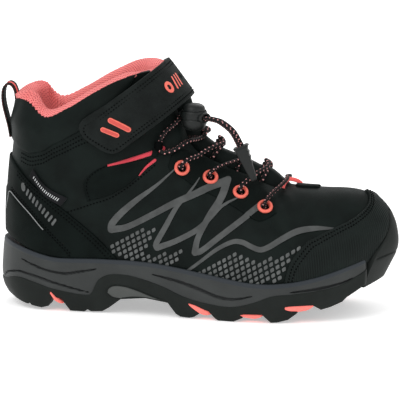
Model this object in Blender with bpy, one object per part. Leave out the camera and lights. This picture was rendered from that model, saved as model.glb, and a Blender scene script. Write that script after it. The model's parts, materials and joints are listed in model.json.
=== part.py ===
"""Junior mid-cut hiking boot for the right foot, as an assembly of named pieces.

Millimetres inside this script, metres in Blender.  Toe along +X, outer (lateral) side along -Y, +Z up,
ground at z = 0.  Every soft piece is cut from one "last" surface: chart coordinate s runs from 0 at the
heel seam to TOE at the toe tip, and v from 0 at the sole line to 1 at the collar rim or the instep ridge.
"""
import math

import bmesh
import bpy
from mathutils import Matrix, Vector
from mathutils.geometry import delaunay_2d_cdt

MM = 0.001
TOE = 16
RIDGE = 8
LATERAL, MEDIAL = "lateral", "medial"

# The last, one row per station from the heel to the toe:
# sole line x, lateral y, medial y, z, bulge, rise | top line x, half width, y, z, crown
STATIONS = (
    (-121.8, 0.0, 0.0, 45.0, 1.0, 0.42, -116.5, 0.0, 0.0, 130.5, 0.0),
    (-115.0, -17.0, 17.0, 42.5, 1.0, 0.42, -112.0, 14.0, 0.0, 133.0, 0.0),
    (-104.0, -26.5, 26.0, 37.8, 1.5, 0.42, -104.0, 22.5, 0.0, 131.5, 0.0),
    (-91.0, -30.2, 29.6, 34.2, 1.5, 0.42, -93.0, 27.0, 0.0, 123.2, 0.0),
    (-75.0, -31.3, 30.5, 32.6, 1.0, 0.42, -78.0, 29.0, 0.0, 129.5, 0.0),
    (-57.0, -32.0, 30.5, 32.5, 0.5, 0.41, -61.0, 28.8, 0.0, 139.5, 0.0),
    (-41.0, -33.0, 30.8, 32.7, 0.5, 0.39, -44.0, 27.0, 0.0, 147.5, 0.2),
    (-28.0, -34.6, 31.6, 31.6, 0.5, 0.36, -29.0, 18.5, 0.0, 151.0, 0.3),
    (-15.0, -36.8, 33.0, 30.0, 0.5, 0.33, -19.0, 0.0, 0.0, 150.0, 0.40),
    (0.0, -39.8, 35.0, 27.8, 1.0, 0.30, -11.5, 0.0, 0.5, 131.0, 0.40),
    (17.0, -43.6, 38.2, 24.8, 1.5, 0.27, -4.0, 0.0, 1.0, 109.0, 0.40),
    (36.0, -46.3, 42.2, 22.4, 2.0, 0.27, 14.0, 0.0, 2.0, 96.8, 0.42),
    (56.0, -45.8, 45.0, 22.4, 3.0, 0.28, 34.0, 0.0, 3.0, 87.5, 0.45),
    (76.0, -40.2, 44.5, 25.6, 4.0, 0.32, 55.0, 0.0, 4.0, 79.6, 0.52),
    (95.0, -30.3, 40.0, 30.5, 5.5, 0.37, 76.0, 0.0, 5.0, 76.8, 0.65),
    (111.0, -15.0, 27.5, 36.0, 7.5, 0.41, 90.0, 0.0, 5.6, 76.0, 0.80),
    (120.8, 6.0, 6.0, 39.0, 8.0, 0.42, 95.0, 0.0, 6.0, 75.8, 0.90),
)
COLLAR_FLARE = 1.5
COLLAR_DROP = 0.35
CHART_SCALE = (18.0, 75.0)
LATTICE = 10.5

# Layers, as distances from the last surface; negative is inside the boot.
SHELL = (-2.0, 0.0)
LINING = (-5.4, -4.0)
PADDING = (-9.0, -2.6)
STIFFENER = (-3.3, -2.9)
OVERLAY = (1.0, 1.7)
SECOND_OVERLAY = (2.3, 2.9)
TONGUE = (-10.5, -7.2)
TONGUE_CROWN = 4.6
BUMPER = (1.3, 3.4)

# Sole heights.
TREAD_DEPTH = 7.0
OUTSOLE_TOP_HEEL = 13.0
OUTSOLE_TOP_FORE = 10.6
TOE_SPRING_START = 60.0
TOE_SPRING_SLOPE = 0.41
SOLE_FLARE = 2.4
GLUE_GAP = 0.4
INSERT_GAP = 0.03
INSERT_LOW = 3.5
BUMPER_START = 15.1
BUMPER_TUCK = 3.6

# Strap: a band wrapped round the ankle in a plane that climbs towards the instep.
STRAP_ORIGIN = Vector((-44.0, 0.0, 121.0))
STRAP_FORWARD = Vector((0.791, 0.0, 0.612))
STRAP_WIDTH_AXIS = Vector((-0.612, 0.0, 0.791))
STRAP_LEG_Y = 34.5
STRAP_LEG_END = 14.5
STRAP_FRONT = 24.6
STRAP_LOW, STRAP_HIGH = -13.6, 15.0
STRAP_THICK = 1.8
STRAP_HINGE_GAP = 1.3

# Lacing.
EYELET_SPOTS = ((-6.8, 92.6), (10.3, 85.9), (29.8, 77.3), (46.0, 69.1))
EYELET_HOLE = 2.7
EYELET_FLANGE = 5.0
EYELET_CLEARANCE = 4.1
LACE_RADIUS = 1.3
CROSSINGS = (-3.0, 8.0, 22.0, 38.0)
LACE_BAR_X = 54.0
ANKLE_LOOP = (-22.0, 106.0)
LOOP_LIFT = 3.4
LACE_STEP = 4.0

# Cord lock.
LOCK_CENTRE = Vector((-0.6, -16.0, 124.3))
LOCK_ALONG = Vector((0.848, -0.53, 0.0))
LOCK_ACROSS = Vector((0.53, 0.848, 0.0))
CLIP_TOP = Vector((30.5, -23.0, 107.0))
CLIP_BOTTOM = Vector((38.5, -22.0, 87.0))
TAIL = (Vector((25.5, -25.5, 117.5)), Vector((19.0, -27.3, 123.2)))
LOCK_RADIUS = 8.0
LOCK_TRAVEL = 2.2
CORD_SPREAD = 1.55

BLACK = (0.012, 0.016, 0.015)
DARK = (0.02, 0.022, 0.022)
GREY = (0.065, 0.075, 0.083)
CORAL = (0.86, 0.17, 0.13)
PINK = (0.94, 0.2, 0.19)
TAN = (0.5, 0.42, 0.3)
SILVER = (0.45, 0.46, 0.46)


# ---------------------------------------------------------------- scene helpers

def clear_scene():
    for item in list(bpy.data.objects):
        bpy.data.objects.remove(item, do_unlink=True)


def material(name, colour, roughness=0.8, metallic=0.0):
    made = bpy.data.materials.new(name)
    made.use_nodes = True
    shader = made.node_tree.nodes["Principled BSDF"]
    shader.inputs["Base Color"].default_value = (*colour, 1.0)
    shader.inputs["Roughness"].default_value = roughness
    shader.inputs["Metallic"].default_value = metallic
    return made


def solid(name, vertices, faces, colour, roughness=0.8, metallic=0.0, origin=None, smooth=True):
    """Make one closed object from millimetre vertices; origin is its pivot in millimetres."""
    pivot = Vector(origin) if origin else Vector((0.0, 0.0, 0.0))
    mesh = bpy.data.meshes.new(name)
    mesh.from_pydata([(Vector(point) - pivot) * MM for point in vertices], [], faces)
    work = bmesh.new()
    work.from_mesh(mesh)
    bmesh.ops.recalc_face_normals(work, faces=work.faces)
    work.to_mesh(mesh)
    work.free()
    if smooth:
        mesh.shade_smooth()
        mesh.set_sharp_from_angle(angle=math.radians(40))
    mesh.materials.append(material(name, colour, roughness, metallic))
    made = bpy.data.objects.new(name, mesh)
    made.location = pivot * MM
    bpy.context.collection.objects.link(made)
    return made


# ---------------------------------------------------------------- the last surface

def ring_rows():
    """Stations in one closed ring: heel, lateral side, toe, medial side."""
    outer = []
    inner = []
    for x, lateral_y, medial_y, z, bulge, rise, top_x, half, top_y, top_z, crown in STATIONS:
        outer.append((x, lateral_y, z, bulge, rise, top_x, top_y - half, top_z, crown))
        inner.append((x, medial_y, z, bulge, rise, top_x, top_y + half, top_z, crown))
    return outer + inner[TOE - 1:0:-1]


RING = ring_rows()
RING_LENGTH = len(RING)


def station(u):
    """Catmull-Rom interpolation of the station ring."""
    first = math.floor(u)
    t = u - first
    weights = (
        (-t + 2 * t * t - t ** 3) / 2,
        (2 - 5 * t * t + 3 * t ** 3) / 2,
        (t + 4 * t * t - 3 * t ** 3) / 2,
        (-t * t + t ** 3) / 2,
    )
    rows = [RING[(first + shift) % RING_LENGTH] for shift in (-1, 0, 1, 2)]
    return [sum(w * row[i] for w, row in zip(weights, rows)) for i in range(len(rows[0]))]


def ramp(value, low, high):
    t = min(max((value - low) / (high - low), 0.0), 1.0)
    return t * t * (3 - 2 * t)


def outward(u):
    """Plan direction square to the sole line, pointing away from the foot."""
    before, after = station(u - 0.05), station(u + 0.05)
    along = Vector((after[0] - before[0], after[1] - before[1], 0.0)).normalized()
    return Vector((along.y, -along.x, 0.0))


def ridge_slope(s):
    s = min(max(s, RIDGE + 0.2), TOE - 1.5)
    before, after = station(s - 0.2), station(s + 0.2)
    return (after[7] - before[7]) / (after[5] - before[5])


def surface(u, v):
    """A point of the last; below v = 0 the wall carries straight on."""
    x, y, z, bulge, rise, top_x, top_y, top_z, crown = station(u)
    s = min(u % RING_LENGTH, -u % RING_LENGTH)
    base = Vector((x, y, z))
    top = Vector((top_x, top_y, top_z))
    height = top_z - z
    low = base + outward(u) * bulge + Vector((0.0, 0.0, rise * height))
    if v < 0:
        return base + (low - base) * 3 * v
    rear = top + outward(u) * COLLAR_FLARE - Vector((0.0, 0.0, COLLAR_DROP * height))
    slope = ridge_slope(s)
    run = (x - top_x) * crown / math.hypot(1.0, slope)
    front = top + Vector((run, (y - top_y) * crown, slope * run))
    high = rear.lerp(front, ramp(s, 6.0, 8.2))
    if v > 1:
        return top + (top - high).normalized() * (v - 1) * height
    w = 1 - v
    return base * w ** 3 + low * (3 * v * w * w) + high * (3 * v * v * w) + top * v ** 3


def ring_place(side, s):
    return s if side == LATERAL else RING_LENGTH - s


def surface_normal(side, s, v):
    """Unit normal pointing away from the foot; on the ridge it is the mean of both sides."""
    def one(which):
        u = ring_place(which, s)
        level = min(v, 0.985)
        along = surface(u + 0.03, level) - surface(u - 0.03, level)
        up = surface(u, level + 0.01) - surface(u, level - 0.01)
        return along.cross(up).normalized()
    if s >= RIDGE and v > 0.999:
        return (one(LATERAL) + one(MEDIAL)).normalized()
    return one(side)


def on_last(side, s, v, offset=0.0):
    return surface(ring_place(side, s), v) + surface_normal(side, s, v) * offset


# ---------------------------------------------------------------- finding chart places

def side_table():
    """Coarse map of the lateral side, used to start each search."""
    rows = []
    for i in range(1, 4 * TOE):
        for j in range(26):
            s, v = i / 4, j / 25
            point = surface(s, v)
            rows.append((point.x, point.z, s, v))
    return rows


SIDE_TABLE = side_table()


def settle(which, s, v, x, z):
    """Newton search from (s, v) for the chart place seen at x, z in side view."""
    for _ in range(8):
        here = surface(ring_place(which, s), v)
        ds = (surface(ring_place(which, s + 0.02), v) - here) / 0.02
        dv = (surface(ring_place(which, s), v + 0.004) - here) / 0.004
        det = ds.x * dv.z - dv.x * ds.z
        if abs(det) < 1e-6:
            break
        miss_x, miss_z = x - here.x, z - here.z
        s = min(max(s + (miss_x * dv.z - dv.x * miss_z) / det, 0.05), TOE - 0.05)
        v = min(max(v + (ds.x * miss_z - miss_x * ds.z) / det, 0.0), 1.0)
    return s, v


def side(x, z):
    """Chart place (s, v) of the lateral point seen at x, z in side view."""
    best = min(SIDE_TABLE, key=lambda row: (row[0] - x) ** 2 + (row[1] - z) ** 2)
    return settle(LATERAL, best[2], best[3], x, z)


def level(s, z):
    """Chart place on station line s at height z."""
    low, high = 0.0, 1.0
    for _ in range(24):
        middle = (low + high) / 2
        if surface(s, middle).z < z:
            low = middle
        else:
            high = middle
    return s, low


def ridge(x):
    """Chart place on the instep ridge at x."""
    low, high = float(RIDGE), float(TOE)
    for _ in range(24):
        middle = (low + high) / 2
        if station(middle)[5] < x:
            low = middle
        else:
            high = middle
    return low, 1.0


# ---------------------------------------------------------------- panels cut from the last

def inside(point, outline):
    hit = False
    for a, b in zip(outline, outline[1:] + outline[:1]):
        if (a[1] > point[1]) != (b[1] > point[1]):
            cross = a[0] + (point[1] - a[1]) * (b[0] - a[0]) / (b[1] - a[1])
            hit ^= point[0] < cross
    return hit


def edge_distance(point, outline):
    best = math.inf
    for a, b in zip(outline, outline[1:] + outline[:1]):
        run = Vector(b) - Vector(a)
        t = (Vector(point) - Vector(a)).dot(run) / max(run.length_squared, 1e-9)
        best = min(best, (Vector(point) - Vector(a) - run * min(max(t, 0.0), 1.0)).length)
    return best


def split_edges(outline, step):
    points = []
    for a, b in zip(outline, outline[1:] + outline[:1]):
        parts = max(1, math.ceil((Vector(b) - Vector(a)).length / step))
        points += [tuple(Vector(a).lerp(Vector(b), i / parts)) for i in range(parts)]
    return points


def triangulate(outline, holes, step):
    """Triangles of a chart region, on one shared staggered lattice so that layers nest."""
    rings = [split_edges(outline, step)] + holes
    points = [point for ring in rings for point in ring]
    edges = []
    start = 0
    for ring in rings:
        edges += [(start + i, start + (i + 1) % len(ring)) for i in range(len(ring))]
        start += len(ring)
    rise = step * 0.866
    for row in range(-8, 14):
        for column in range(0, 40):
            point = ((column + 0.5 * (row % 2)) * step, row * rise)
            clear = all(edge_distance(point, ring) > 0.45 * step for ring in rings)
            if clear and inside(point, outline) and not any(inside(point, hole) for hole in holes):
                points.append(point)
    found = delaunay_2d_cdt([Vector(point) for point in points], edges, [], 0, 1e-5)
    flat = [tuple(point) for point in found[0]]
    triangles = []
    for face in found[2]:
        middle = tuple(sum(flat[i][axis] for i in face) / 3 for axis in (0, 1))
        if inside(middle, rings[0]) and not any(inside(middle, hole) for hole in holes):
            triangles.append(tuple(face))
    return flat, triangles


def seam_key(which, s, v):
    shared = s < 1e-4 or s > TOE - 1e-4 or (v > 0.9999 and s > RIDGE - 1e-4)
    return ("both" if shared else which, round(s, 4), round(v, 4))


def panel(name, outline, layer, colour, sides=(LATERAL, MEDIAL), holes=(), lift=None, step=LATTICE, **finish):
    """A sheet between two distances from the last; halves that meet at heel, toe or ridge are one piece."""
    scale_s, scale_v = CHART_SCALE
    flat, triangles = triangulate(
        [(s * scale_s, v * scale_v) for s, v in outline],
        [[(s * scale_s, v * scale_v) for s, v in hole] for hole in holes],
        step,
    )
    index = {}
    inner, outer, faces = [], [], []
    edge_use = {}
    for which in sides:
        for triangle in triangles:
            corners = []
            for i in triangle:
                s, v = flat[i][0] / scale_s, flat[i][1] / scale_v
                key = seam_key(which, s, v)
                if key not in index:
                    index[key] = len(outer)
                    point = surface(ring_place(which, s), v)
                    normal = surface_normal(which, s, v)
                    extra = lift(s, v) if lift else 0.0
                    inner.append(point + normal * (layer[0] + extra))
                    outer.append(point + normal * (layer[1] + extra))
                corners.append(index[key])
            if which == MEDIAL:
                corners.reverse()
            faces.append(corners)
            for a, b in zip(corners, corners[1:] + corners[:1]):
                edge_use[(a, b)] = True
    count = len(outer)
    shell = [tuple(face) for face in faces]
    shell += [tuple(count + i for i in reversed(face)) for face in faces]
    shell += [(b, a, a + count, b + count) for a, b in edge_use if (b, a) not in edge_use]
    return solid(name, outer + inner, shell, colour, **finish)


def both_sides(name, outline, layer, colour, holes=None):
    """The same panel as two separate pieces, one on each side of the boot."""
    for which in (LATERAL, MEDIAL):
        found = holes(which) if holes else ()
        panel(f"{name}_{which}", outline, layer, colour, sides=(which,), holes=found)


# ---------------------------------------------------------------- other shapes

def ground(x):
    """Height of the tread line above the ground: flat, then the toe spring."""
    return max(0.0, x - TOE_SPRING_START) * TOE_SPRING_SLOPE * ramp(x, TOE_SPRING_START - 5, TOE_SPRING_START + 30)


def station_at(x):
    """Chart coordinate s where the sole line reaches x."""
    low, high = 0.0, float(TOE)
    for _ in range(24):
        middle = (low + high) / 2
        if station(middle)[0] < x:
            low = middle
        else:
            high = middle
    return low


def sole_point(side_name, s, out):
    """Sole outline at station s, moved outward in plan."""
    u = ring_place(side_name, s)
    base = station(u)
    move = outward(u) * out(s)
    return Vector((base[0] + move.x, base[1] + move.y, base[2]))


def flare(tuck):
    """Outline offset of a sole layer: proud of the upper, tucked in behind the toe bumper."""
    return lambda s: SOLE_FLARE - (SOLE_FLARE + tuck) * ramp(s, BUMPER_START - 0.5, BUMPER_START - 0.1)


def cell_plate(name, s_lines, c_lines, keep, out, low, high, colour, drop=None, **finish):
    """A plate of quad cells in a chart across the sole; drop(i, j, centre) gives a cell's tread depth."""
    index = {}
    vertices, faces = [], []

    def corner(i, j, top):
        s, c = s_lines[i], c_lines[j]
        key = (i, 0 if s in (0, TOE) else j, top)
        if key not in index:
            index[key] = len(vertices)
            a, b = sole_point(LATERAL, s, out), sole_point(MEDIAL, s, out)
            point = a.lerp(b, (c + 1) / 2)
            point.z = (high if top else low)(s, station(s)[0], a.z)
            vertices.append(point)
        return index[key]

    def quad(items):
        unique = list(dict.fromkeys(items))
        if len(unique) > 2:
            faces.append(tuple(unique))

    cells = {(i, j) for i in range(len(s_lines) - 1) for j in range(len(c_lines) - 1) if keep(i, j)}
    for i, j in cells:
        loop = ((i, j), (i + 1, j), (i + 1, j + 1), (i, j + 1))
        quad([corner(*at, True) for at in loop])
        base = list(dict.fromkeys(corner(*at, False) for at in reversed(loop)))
        depth = drop(i, j) if drop else 0.0
        if depth:
            middle = sum((vertices[k] for k in base), Vector()) / len(base)
            foot = []
            for k in base:
                spot = vertices[k].lerp(middle, 0.16)
                spot.z = vertices[k].z - depth
                foot.append(len(vertices))
                vertices.append(spot)
            faces.append(tuple(foot))
            for k in range(len(base)):
                after = (k + 1) % len(base)
                faces.append((base[k], base[after], foot[after], foot[k]))
        elif len(base) > 2:
            faces.append(tuple(base))
        for step, (a, b) in (((0, -1), (0, 1)), ((1, 0), (1, 2)), ((0, 1), (2, 3)), ((-1, 0), (3, 0))):
            if (i + step[0], j + step[1]) not in cells:
                ends = [loop[a], loop[b]]
                quad([corner(*ends[1], True), corner(*ends[0], True), corner(*ends[0], False),
                      corner(*ends[1], False)])
    return solid(name, vertices, faces, colour, **finish)


def lathe(name, profile, centre, axis, colour, segments=16, **finish):
    """Revolve a closed (radius, height) profile about an axis through centre."""
    turn = Vector((0.0, 0.0, 1.0)).rotation_difference(Vector(axis)).to_matrix()
    vertices, faces, rings = [], [], []
    for radius, height in profile:
        if radius == 0:
            rings.append([len(vertices)] * segments)
            vertices.append(Vector(centre) + turn @ Vector((0.0, 0.0, height)))
            continue
        rings.append(list(range(len(vertices), len(vertices) + segments)))
        for k in range(segments):
            angle = math.tau * k / segments
            spoke = Vector((radius * math.cos(angle), radius * math.sin(angle), height))
            vertices.append(Vector(centre) + turn @ spoke)
    for a, b in zip(rings, rings[1:] + rings[:1]):
        for k in range(segments):
            after = (k + 1) % segments
            quad = list(dict.fromkeys((a[k], a[after], b[after], b[k])))
            if len(quad) > 2:
                faces.append(tuple(quad))
    return solid(name, vertices, faces, colour, **finish)


def smooth_path(points, step):
    """Catmull-Rom curve through points, sampled about every step millimetres."""
    padded = [points[0] * 2 - points[1]] + list(points) + [points[-1] * 2 - points[-2]]
    path = []
    for i in range(1, len(padded) - 2):
        a, b, c, d = padded[i - 1:i + 3]
        parts = max(1, round((c - b).length / step))
        for k in range(parts):
            t = k / parts
            path.append((b * 2 + (c - a) * t + (a * 2 - b * 5 + c * 4 - d) * t ** 2
                         + (b * 3 - a - c * 3 + d) * t ** 3) / 2)
    return path + [points[-1]]


def cord(name, path, radius, colour, sides=6, **finish):
    """A round cord along a path, closed at both ends."""
    frame_up = Vector((0.0, 0.0, 1.0))
    vertices, faces = [], []
    for i, point in enumerate(path):
        along = (path[min(i + 1, len(path) - 1)] - path[max(i - 1, 0)]).normalized()
        across = along.cross(frame_up)
        if across.length < 0.05:
            across = along.cross(Vector((0.0, 1.0, 0.0)))
        across.normalize()
        frame_up = across.cross(along).normalized()
        for k in range(sides):
            angle = math.tau * k / sides
            vertices.append(point + (across * math.cos(angle) + frame_up * math.sin(angle)) * radius)
    for i in range(len(path) - 1):
        for k in range(sides):
            a, b = i * sides + k, i * sides + (k + 1) % sides
            faces.append((a, b, b + sides, a + sides))
    faces.append(tuple(reversed(range(sides))))
    faces.append(tuple(range(len(vertices) - sides, len(vertices))))
    return solid(name, vertices, faces, colour, **finish)


def ribbon(name, centres, normals, lows, highs, thick, colour, origin=None, **finish):
    """A flat band: at each centre it spans low to high and is thick along the normal."""
    vertices, faces = [], []
    for centre, normal, low, high in zip(centres, normals, lows, highs):
        for span in (low, high):
            vertices += [centre + span - normal * thick / 2, centre + span + normal * thick / 2]
    for i in range(len(centres) - 1):
        a = 4 * i
        for first, second in ((0, 1), (1, 3), (3, 2), (2, 0)):
            faces.append((a + first, a + second, a + 4 + second, a + 4 + first))
    faces.append((0, 2, 3, 1))
    last = 4 * (len(centres) - 1)
    faces.append((last, last + 1, last + 3, last + 2))
    return solid(name, vertices, faces, colour, origin=origin, **finish)


# ---------------------------------------------------------------- sole unit

# Sole stations, by x: edges of the lugs, of the coral inserts and of the arch between heel and forefoot.
LUG_EDGES = (-113, -95, -91, -81, -54, -47, -30, -13, 0, 14, 34, 49, 68, 79, 98, 105, 110)
LUG_ROWS = (0, 1, 4, 8, 10, 12, 14, 16, 17)
INSERT_ROWS = (3, 9, 11, 13)
ACROSS = (-1.0, -0.55, -0.38, 0.0, 0.38, 0.55, 1.0)


def everywhere(i, j):
    return True


def outsole_top(s, x, z):
    return ground(x) + OUTSOLE_TOP_HEEL + (OUTSOLE_TOP_FORE - OUTSOLE_TOP_HEEL) * ramp(x, -60.0, 0.0)


def outsole_base(s, x, z):
    return ground(x) + TREAD_DEPTH


def midsole_low(s, x, z):
    return outsole_top(s, x, z) + GLUE_GAP


def midsole_top(s, x, z):
    return z - GLUE_GAP


def build_sole():
    rows = [0.0] + [station_at(x) for x in LUG_EDGES] + [TOE]
    side_columns = (0, len(ACROSS) - 2)

    def lug(i, j):
        under_foot = j in side_columns or j in (2, 3)
        return TREAD_DEPTH if i in LUG_ROWS and under_foot else 0.0

    def body(i, j):
        return not (i in INSERT_ROWS and j in side_columns)

    cell_plate("outsole", rows, ACROSS, body, flare(BUMPER_TUCK), outsole_base, outsole_top, DARK, drop=lug)
    for which, j in ((LATERAL, 0), (MEDIAL, len(ACROSS) - 2)):
        for number, i in enumerate(INSERT_ROWS, start=1):
            s_pair = (rows[i] + INSERT_GAP, rows[i + 1] - INSERT_GAP)
            c_pair = (ACROSS[j] + INSERT_GAP / 2, ACROSS[j + 1] - INSERT_GAP / 2)
            cell_plate(f"tread_insert_{which}_{number}", s_pair, c_pair, everywhere, flare(BUMPER_TUCK),
                       lambda s, x, z: ground(x) + INSERT_LOW, outsole_top, CORAL)

    wide = (-1.0, -0.5, 0.0, 0.5, 1.0)
    cell_plate("midsole", rows, wide, everywhere, flare(BUMPER_TUCK), midsole_low, midsole_top, GREY)
    inner = [k * 0.8 for k in range(1, 20)]
    cell_plate("insole_board", inner, wide, everywhere, lambda s: -6.4,
               lambda s, x, z: z + 0.2, lambda s, x, z: z + 1.4, TAN)
    cell_plate("footbed", inner[1:-1], wide, everywhere, lambda s: -7.4,
               lambda s, x, z: z + 2.0, lambda s, x, z: z + 5.0, PINK)
    arch = [station_at(x) for x in (-44, -30, -16)]
    cell_plate("shank_plate", arch, wide, everywhere, lambda s: SOLE_FLARE - 0.4,
               lambda s, x, z: TREAD_DEPTH - 3.0, lambda s, x, z: TREAD_DEPTH - GLUE_GAP, GREY)


# ---------------------------------------------------------------- upper

THROAT = ((12.55, 0.855), (12.0, 0.842), (11.4, 0.835), (10.6, 0.83), (9.8, 0.82), (9.0, 0.79), (8.2, 0.78),
          (7.7, 0.86))


def tongue_crown(s, v):
    return TONGUE_CROWN * ramp(v, 0.86, 0.99)


def eyelet_holes(which):
    """Chart outlines of the four eyelet holes on one side."""
    holes = []
    for x, z in EYELET_SPOTS:
        s, v = side(x, z)
        centre = on_last(which, s, v)
        normal = surface_normal(which, s, v)
        across = normal.cross(Vector((0.0, 1.0, 0.0))).normalized()
        other = normal.cross(across)
        ring = []
        for k in range(12):
            angle = math.tau * k / 12
            spot = centre + (across * math.cos(angle) + other * math.sin(angle)) * EYELET_CLEARANCE
            ring.append(settle(which, s, v, spot.x, spot.z))
        holes.append(ring)
    return holes


def build_upper():
    quarter = [(0.03, 0.0), (11.5, 0.0), (12.52, 0.82), *THROAT, (7.3, 0.95), (7.1, 1.0), (0.03, 1.0)]
    both_sides("quarter", quarter, SHELL, BLACK, holes=eyelet_holes)
    vamp = [(11.54, 0.0), (TOE, 0.0), (TOE, 1.0), (12.75, 1.0), (12.62, 0.87), (12.56, 0.82)]
    panel("vamp", vamp, SHELL, BLACK)
    lining = [(0.0, 0.03), (TOE, 0.03), (TOE, 1.0), (13.5, 1.0), (13.0, 0.5), (12.0, 0.4), (8.0, 0.4), (7.0, 0.68),
              (0.0, 0.68)]
    panel("lining", lining, LINING, PINK)
    padding = [(0.0, 0.7), (6.6, 0.7), (6.6, 1.04), (0.0, 1.04)]
    panel("collar_padding", padding, PADDING, PINK)
    counter = [(0.0, 0.04), (4.0, 0.04), (3.2, 0.34), (0.0, 0.46)]
    panel("heel_counter", counter, STIFFENER, SILVER)
    puff = [(13.8, 0.04), (TOE, 0.04), (TOE, 0.66), (14.4, 0.62)]
    panel("toe_puff", puff, STIFFENER, SILVER)

    toe_cap = [side(61.5, 25), side(66, 36), side(76, 48.5), side(95, 61), level(15.5, 71), level(TOE, 72.5),
               level(TOE, 65.4), level(15.55, 58.5), level(15.15, 44), (15.08, 0.005)]
    panel("toe_cap", toe_cap, OVERLAY, BLACK)
    bumper = [(BUMPER_START, -0.2), (TOE, -0.2), level(TOE, 64.6), level(15.6, 57.7), level(15.2, 43)]
    panel("toe_bumper", bumper, BUMPER, DARK)

    heel_band = [(0.0, 0.01), side(-48, 34), side(-61, 48), side(-80, 64), side(-92, 74), side(-103, 82.5),
                 level(0.9, 91), level(0.0, 96)]
    panel("heel_band", heel_band, OVERLAY, BLACK)
    collar_cover = [level(0.0, 107), level(0.8, 104), side(-107, 101), side(-97, 101), side(-88, 106),
                    side(-71, 116), side(-60, 124), (5.4, 0.94), (4.0, 0.95), (2.0, 0.95), (0.0, 0.95)]
    panel("collar_cover", collar_cover, OVERLAY, BLACK)
    ankle = [side(-65, 72), side(-68, 80), side(-66, 86), side(-60, 91), side(-53, 94), side(-38, 98),
             side(-24, 99), side(-35, 88), side(-50, 77)]
    both_sides("ankle_panel", ankle, OVERLAY, BLACK)
    eyestay = [side(-13, 101), side(-14, 92), side(6, 79), side(26, 70), side(44, 61.5), side(54, 66),
               (12.0, 0.82), (11.0, 0.82), (10.2, 0.81)]
    both_sides("eyestay", eyestay, OVERLAY, BLACK, holes=eyelet_holes)
    tongue = [(8.0, 1.0), (13.4, 1.0), (13.1, 0.84), (12.0, 0.74), (10.0, 0.68), (8.8, 0.66), (8.0, 0.8)]
    panel("tongue", tongue, TONGUE, BLACK, lift=tongue_crown)


# ---------------------------------------------------------------- lacing

def build_eyelets():
    profile = ((EYELET_HOLE, -2.9), (EYELET_HOLE + 0.75, -2.9), (EYELET_HOLE + 0.75, 2.15),
               (EYELET_FLANGE, 2.15), (EYELET_FLANGE - 0.6, 3.2), (EYELET_HOLE + 0.6, 3.2), (EYELET_HOLE, 2.6))
    for which in (LATERAL, MEDIAL):
        for number, (x, z) in enumerate(EYELET_SPOTS, start=1):
            s, v = side(x, z)
            centre = on_last(which, s, v)
            lathe(f"eyelet_{which}_{number}", profile, centre, surface_normal(which, s, v), CORAL,
                  segments=14, roughness=0.45)


def across_last(which, x, z, offset):
    return on_last(which, *side(x, z), offset)


def lace_half(which):
    """One half of the cord as (s, w, offset); w is the signed chart distance from the ridge, medial positive."""
    sign = -1 if which == LATERAL else 1
    hump = 3.0 if which == LATERAL else 6.2
    points = []
    for x, z, offset in ((*ANKLE_LOOP, LOOP_LIFT), (-17.5, 102.0, 2.8), (-10.0, 105.0, 2.8)):
        s, v = side(x, z)
        points.append((s, sign * (1 - v), offset))
    for (x, z), crossing in zip(EYELET_SPOTS, CROSSINGS):
        s, v = side(x, z)
        middle = ridge(crossing)[0]
        points.append((middle, sign * 0.08, hump - 0.3))
        points.append((middle, 0.0, hump))
        points.append((middle + 0.06, -sign * 0.06, hump - 1.2))
        points.append((middle * 0.8 + s * 0.2, -sign * 0.1, -0.8))
        points.append((middle * 0.7 + s * 0.3, -sign * 0.135, -3.7))
        points.append((middle * 0.5 + s * 0.5, -sign * 0.19, -4.3))
        points.append((s + 0.01, -sign * (1 - v - 0.012), -4.6))
        points.append((s, -sign * (1 - v), -1.0))
        points.append((s, -sign * (1 - v), 2.2))
        points.append((s + 0.02, -sign * (1 - v - 0.015), 5.0))
        sign = -sign
    return points


def from_chart(points, step):
    """Smooth (s, w, offset) points in the chart, then carry them onto the last."""
    scaled = [Vector((s * CHART_SCALE[0], w * CHART_SCALE[1], offset)) for s, w, offset in points]
    path = []
    for spot in smooth_path(scaled, step):
        w = spot.y / CHART_SCALE[1]
        which = LATERAL if w < 0 else MEDIAL
        path.append(on_last(which, spot.x / CHART_SCALE[0], 1 - abs(w), spot.z))
    return path


def lock_lead(which):
    """One cord through the lock, from its free end towards the ankle loop."""
    shift = LOCK_ACROSS * (CORD_SPREAD if which == MEDIAL else -CORD_SPREAD)
    into_clip = (CLIP_BOTTOM - CLIP_TOP).normalized()
    points = [CLIP_TOP + into_clip * reach + shift for reach in (3.0, 0.0, -3.0)]
    points += [spot + shift for spot in TAIL]
    points += [LOCK_CENTRE + LOCK_ALONG * reach + shift for reach in (17.0, 9.0, 0.0, -9.0)]
    if which == MEDIAL:
        points.append(on_last(LATERAL, *ridge(-8.0), 4.2))
        points.append(across_last(MEDIAL, -13.0, 118.0, 4.4))
    else:
        points.append(across_last(LATERAL, -13.5, 119.5, 4.4))
    points.append(across_last(which, -19.0, 113.0, 4.0))
    points.append(across_last(which, *ANKLE_LOOP, LOOP_LIFT))
    return smooth_path(points, LACE_STEP)


def build_lacing():
    bar = (ridge(LACE_BAR_X)[0], 0.0, 3.4)
    laced = from_chart(lace_half(LATERAL) + [bar] + lace_half(MEDIAL)[::-1], LACE_STEP)
    path = lock_lead(LATERAL) + laced[1:-1] + lock_lead(MEDIAL)[::-1]
    cord("lace", path, LACE_RADIUS, BLACK)

    ring = ((2.3, -1.5), (3.0, -1.5), (3.0, 1.5), (2.3, 1.5))
    for which in (LATERAL, MEDIAL):
        before = across_last(which, -19.0, 113.0, 4.0)
        after = across_last(which, -17.5, 102.0, 2.8)
        lathe(f"lace_loop_{which}", ring, across_last(which, *ANKLE_LOOP, LOOP_LIFT), after - before, BLACK,
              segments=12)

    keeper = [(13.15, 0.92), (13.6, 0.93), (13.6, 1.0), (13.15, 1.0)]
    panel("lace_keeper", keeper, OVERLAY, BLACK)


# ---------------------------------------------------------------- cord lock

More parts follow.
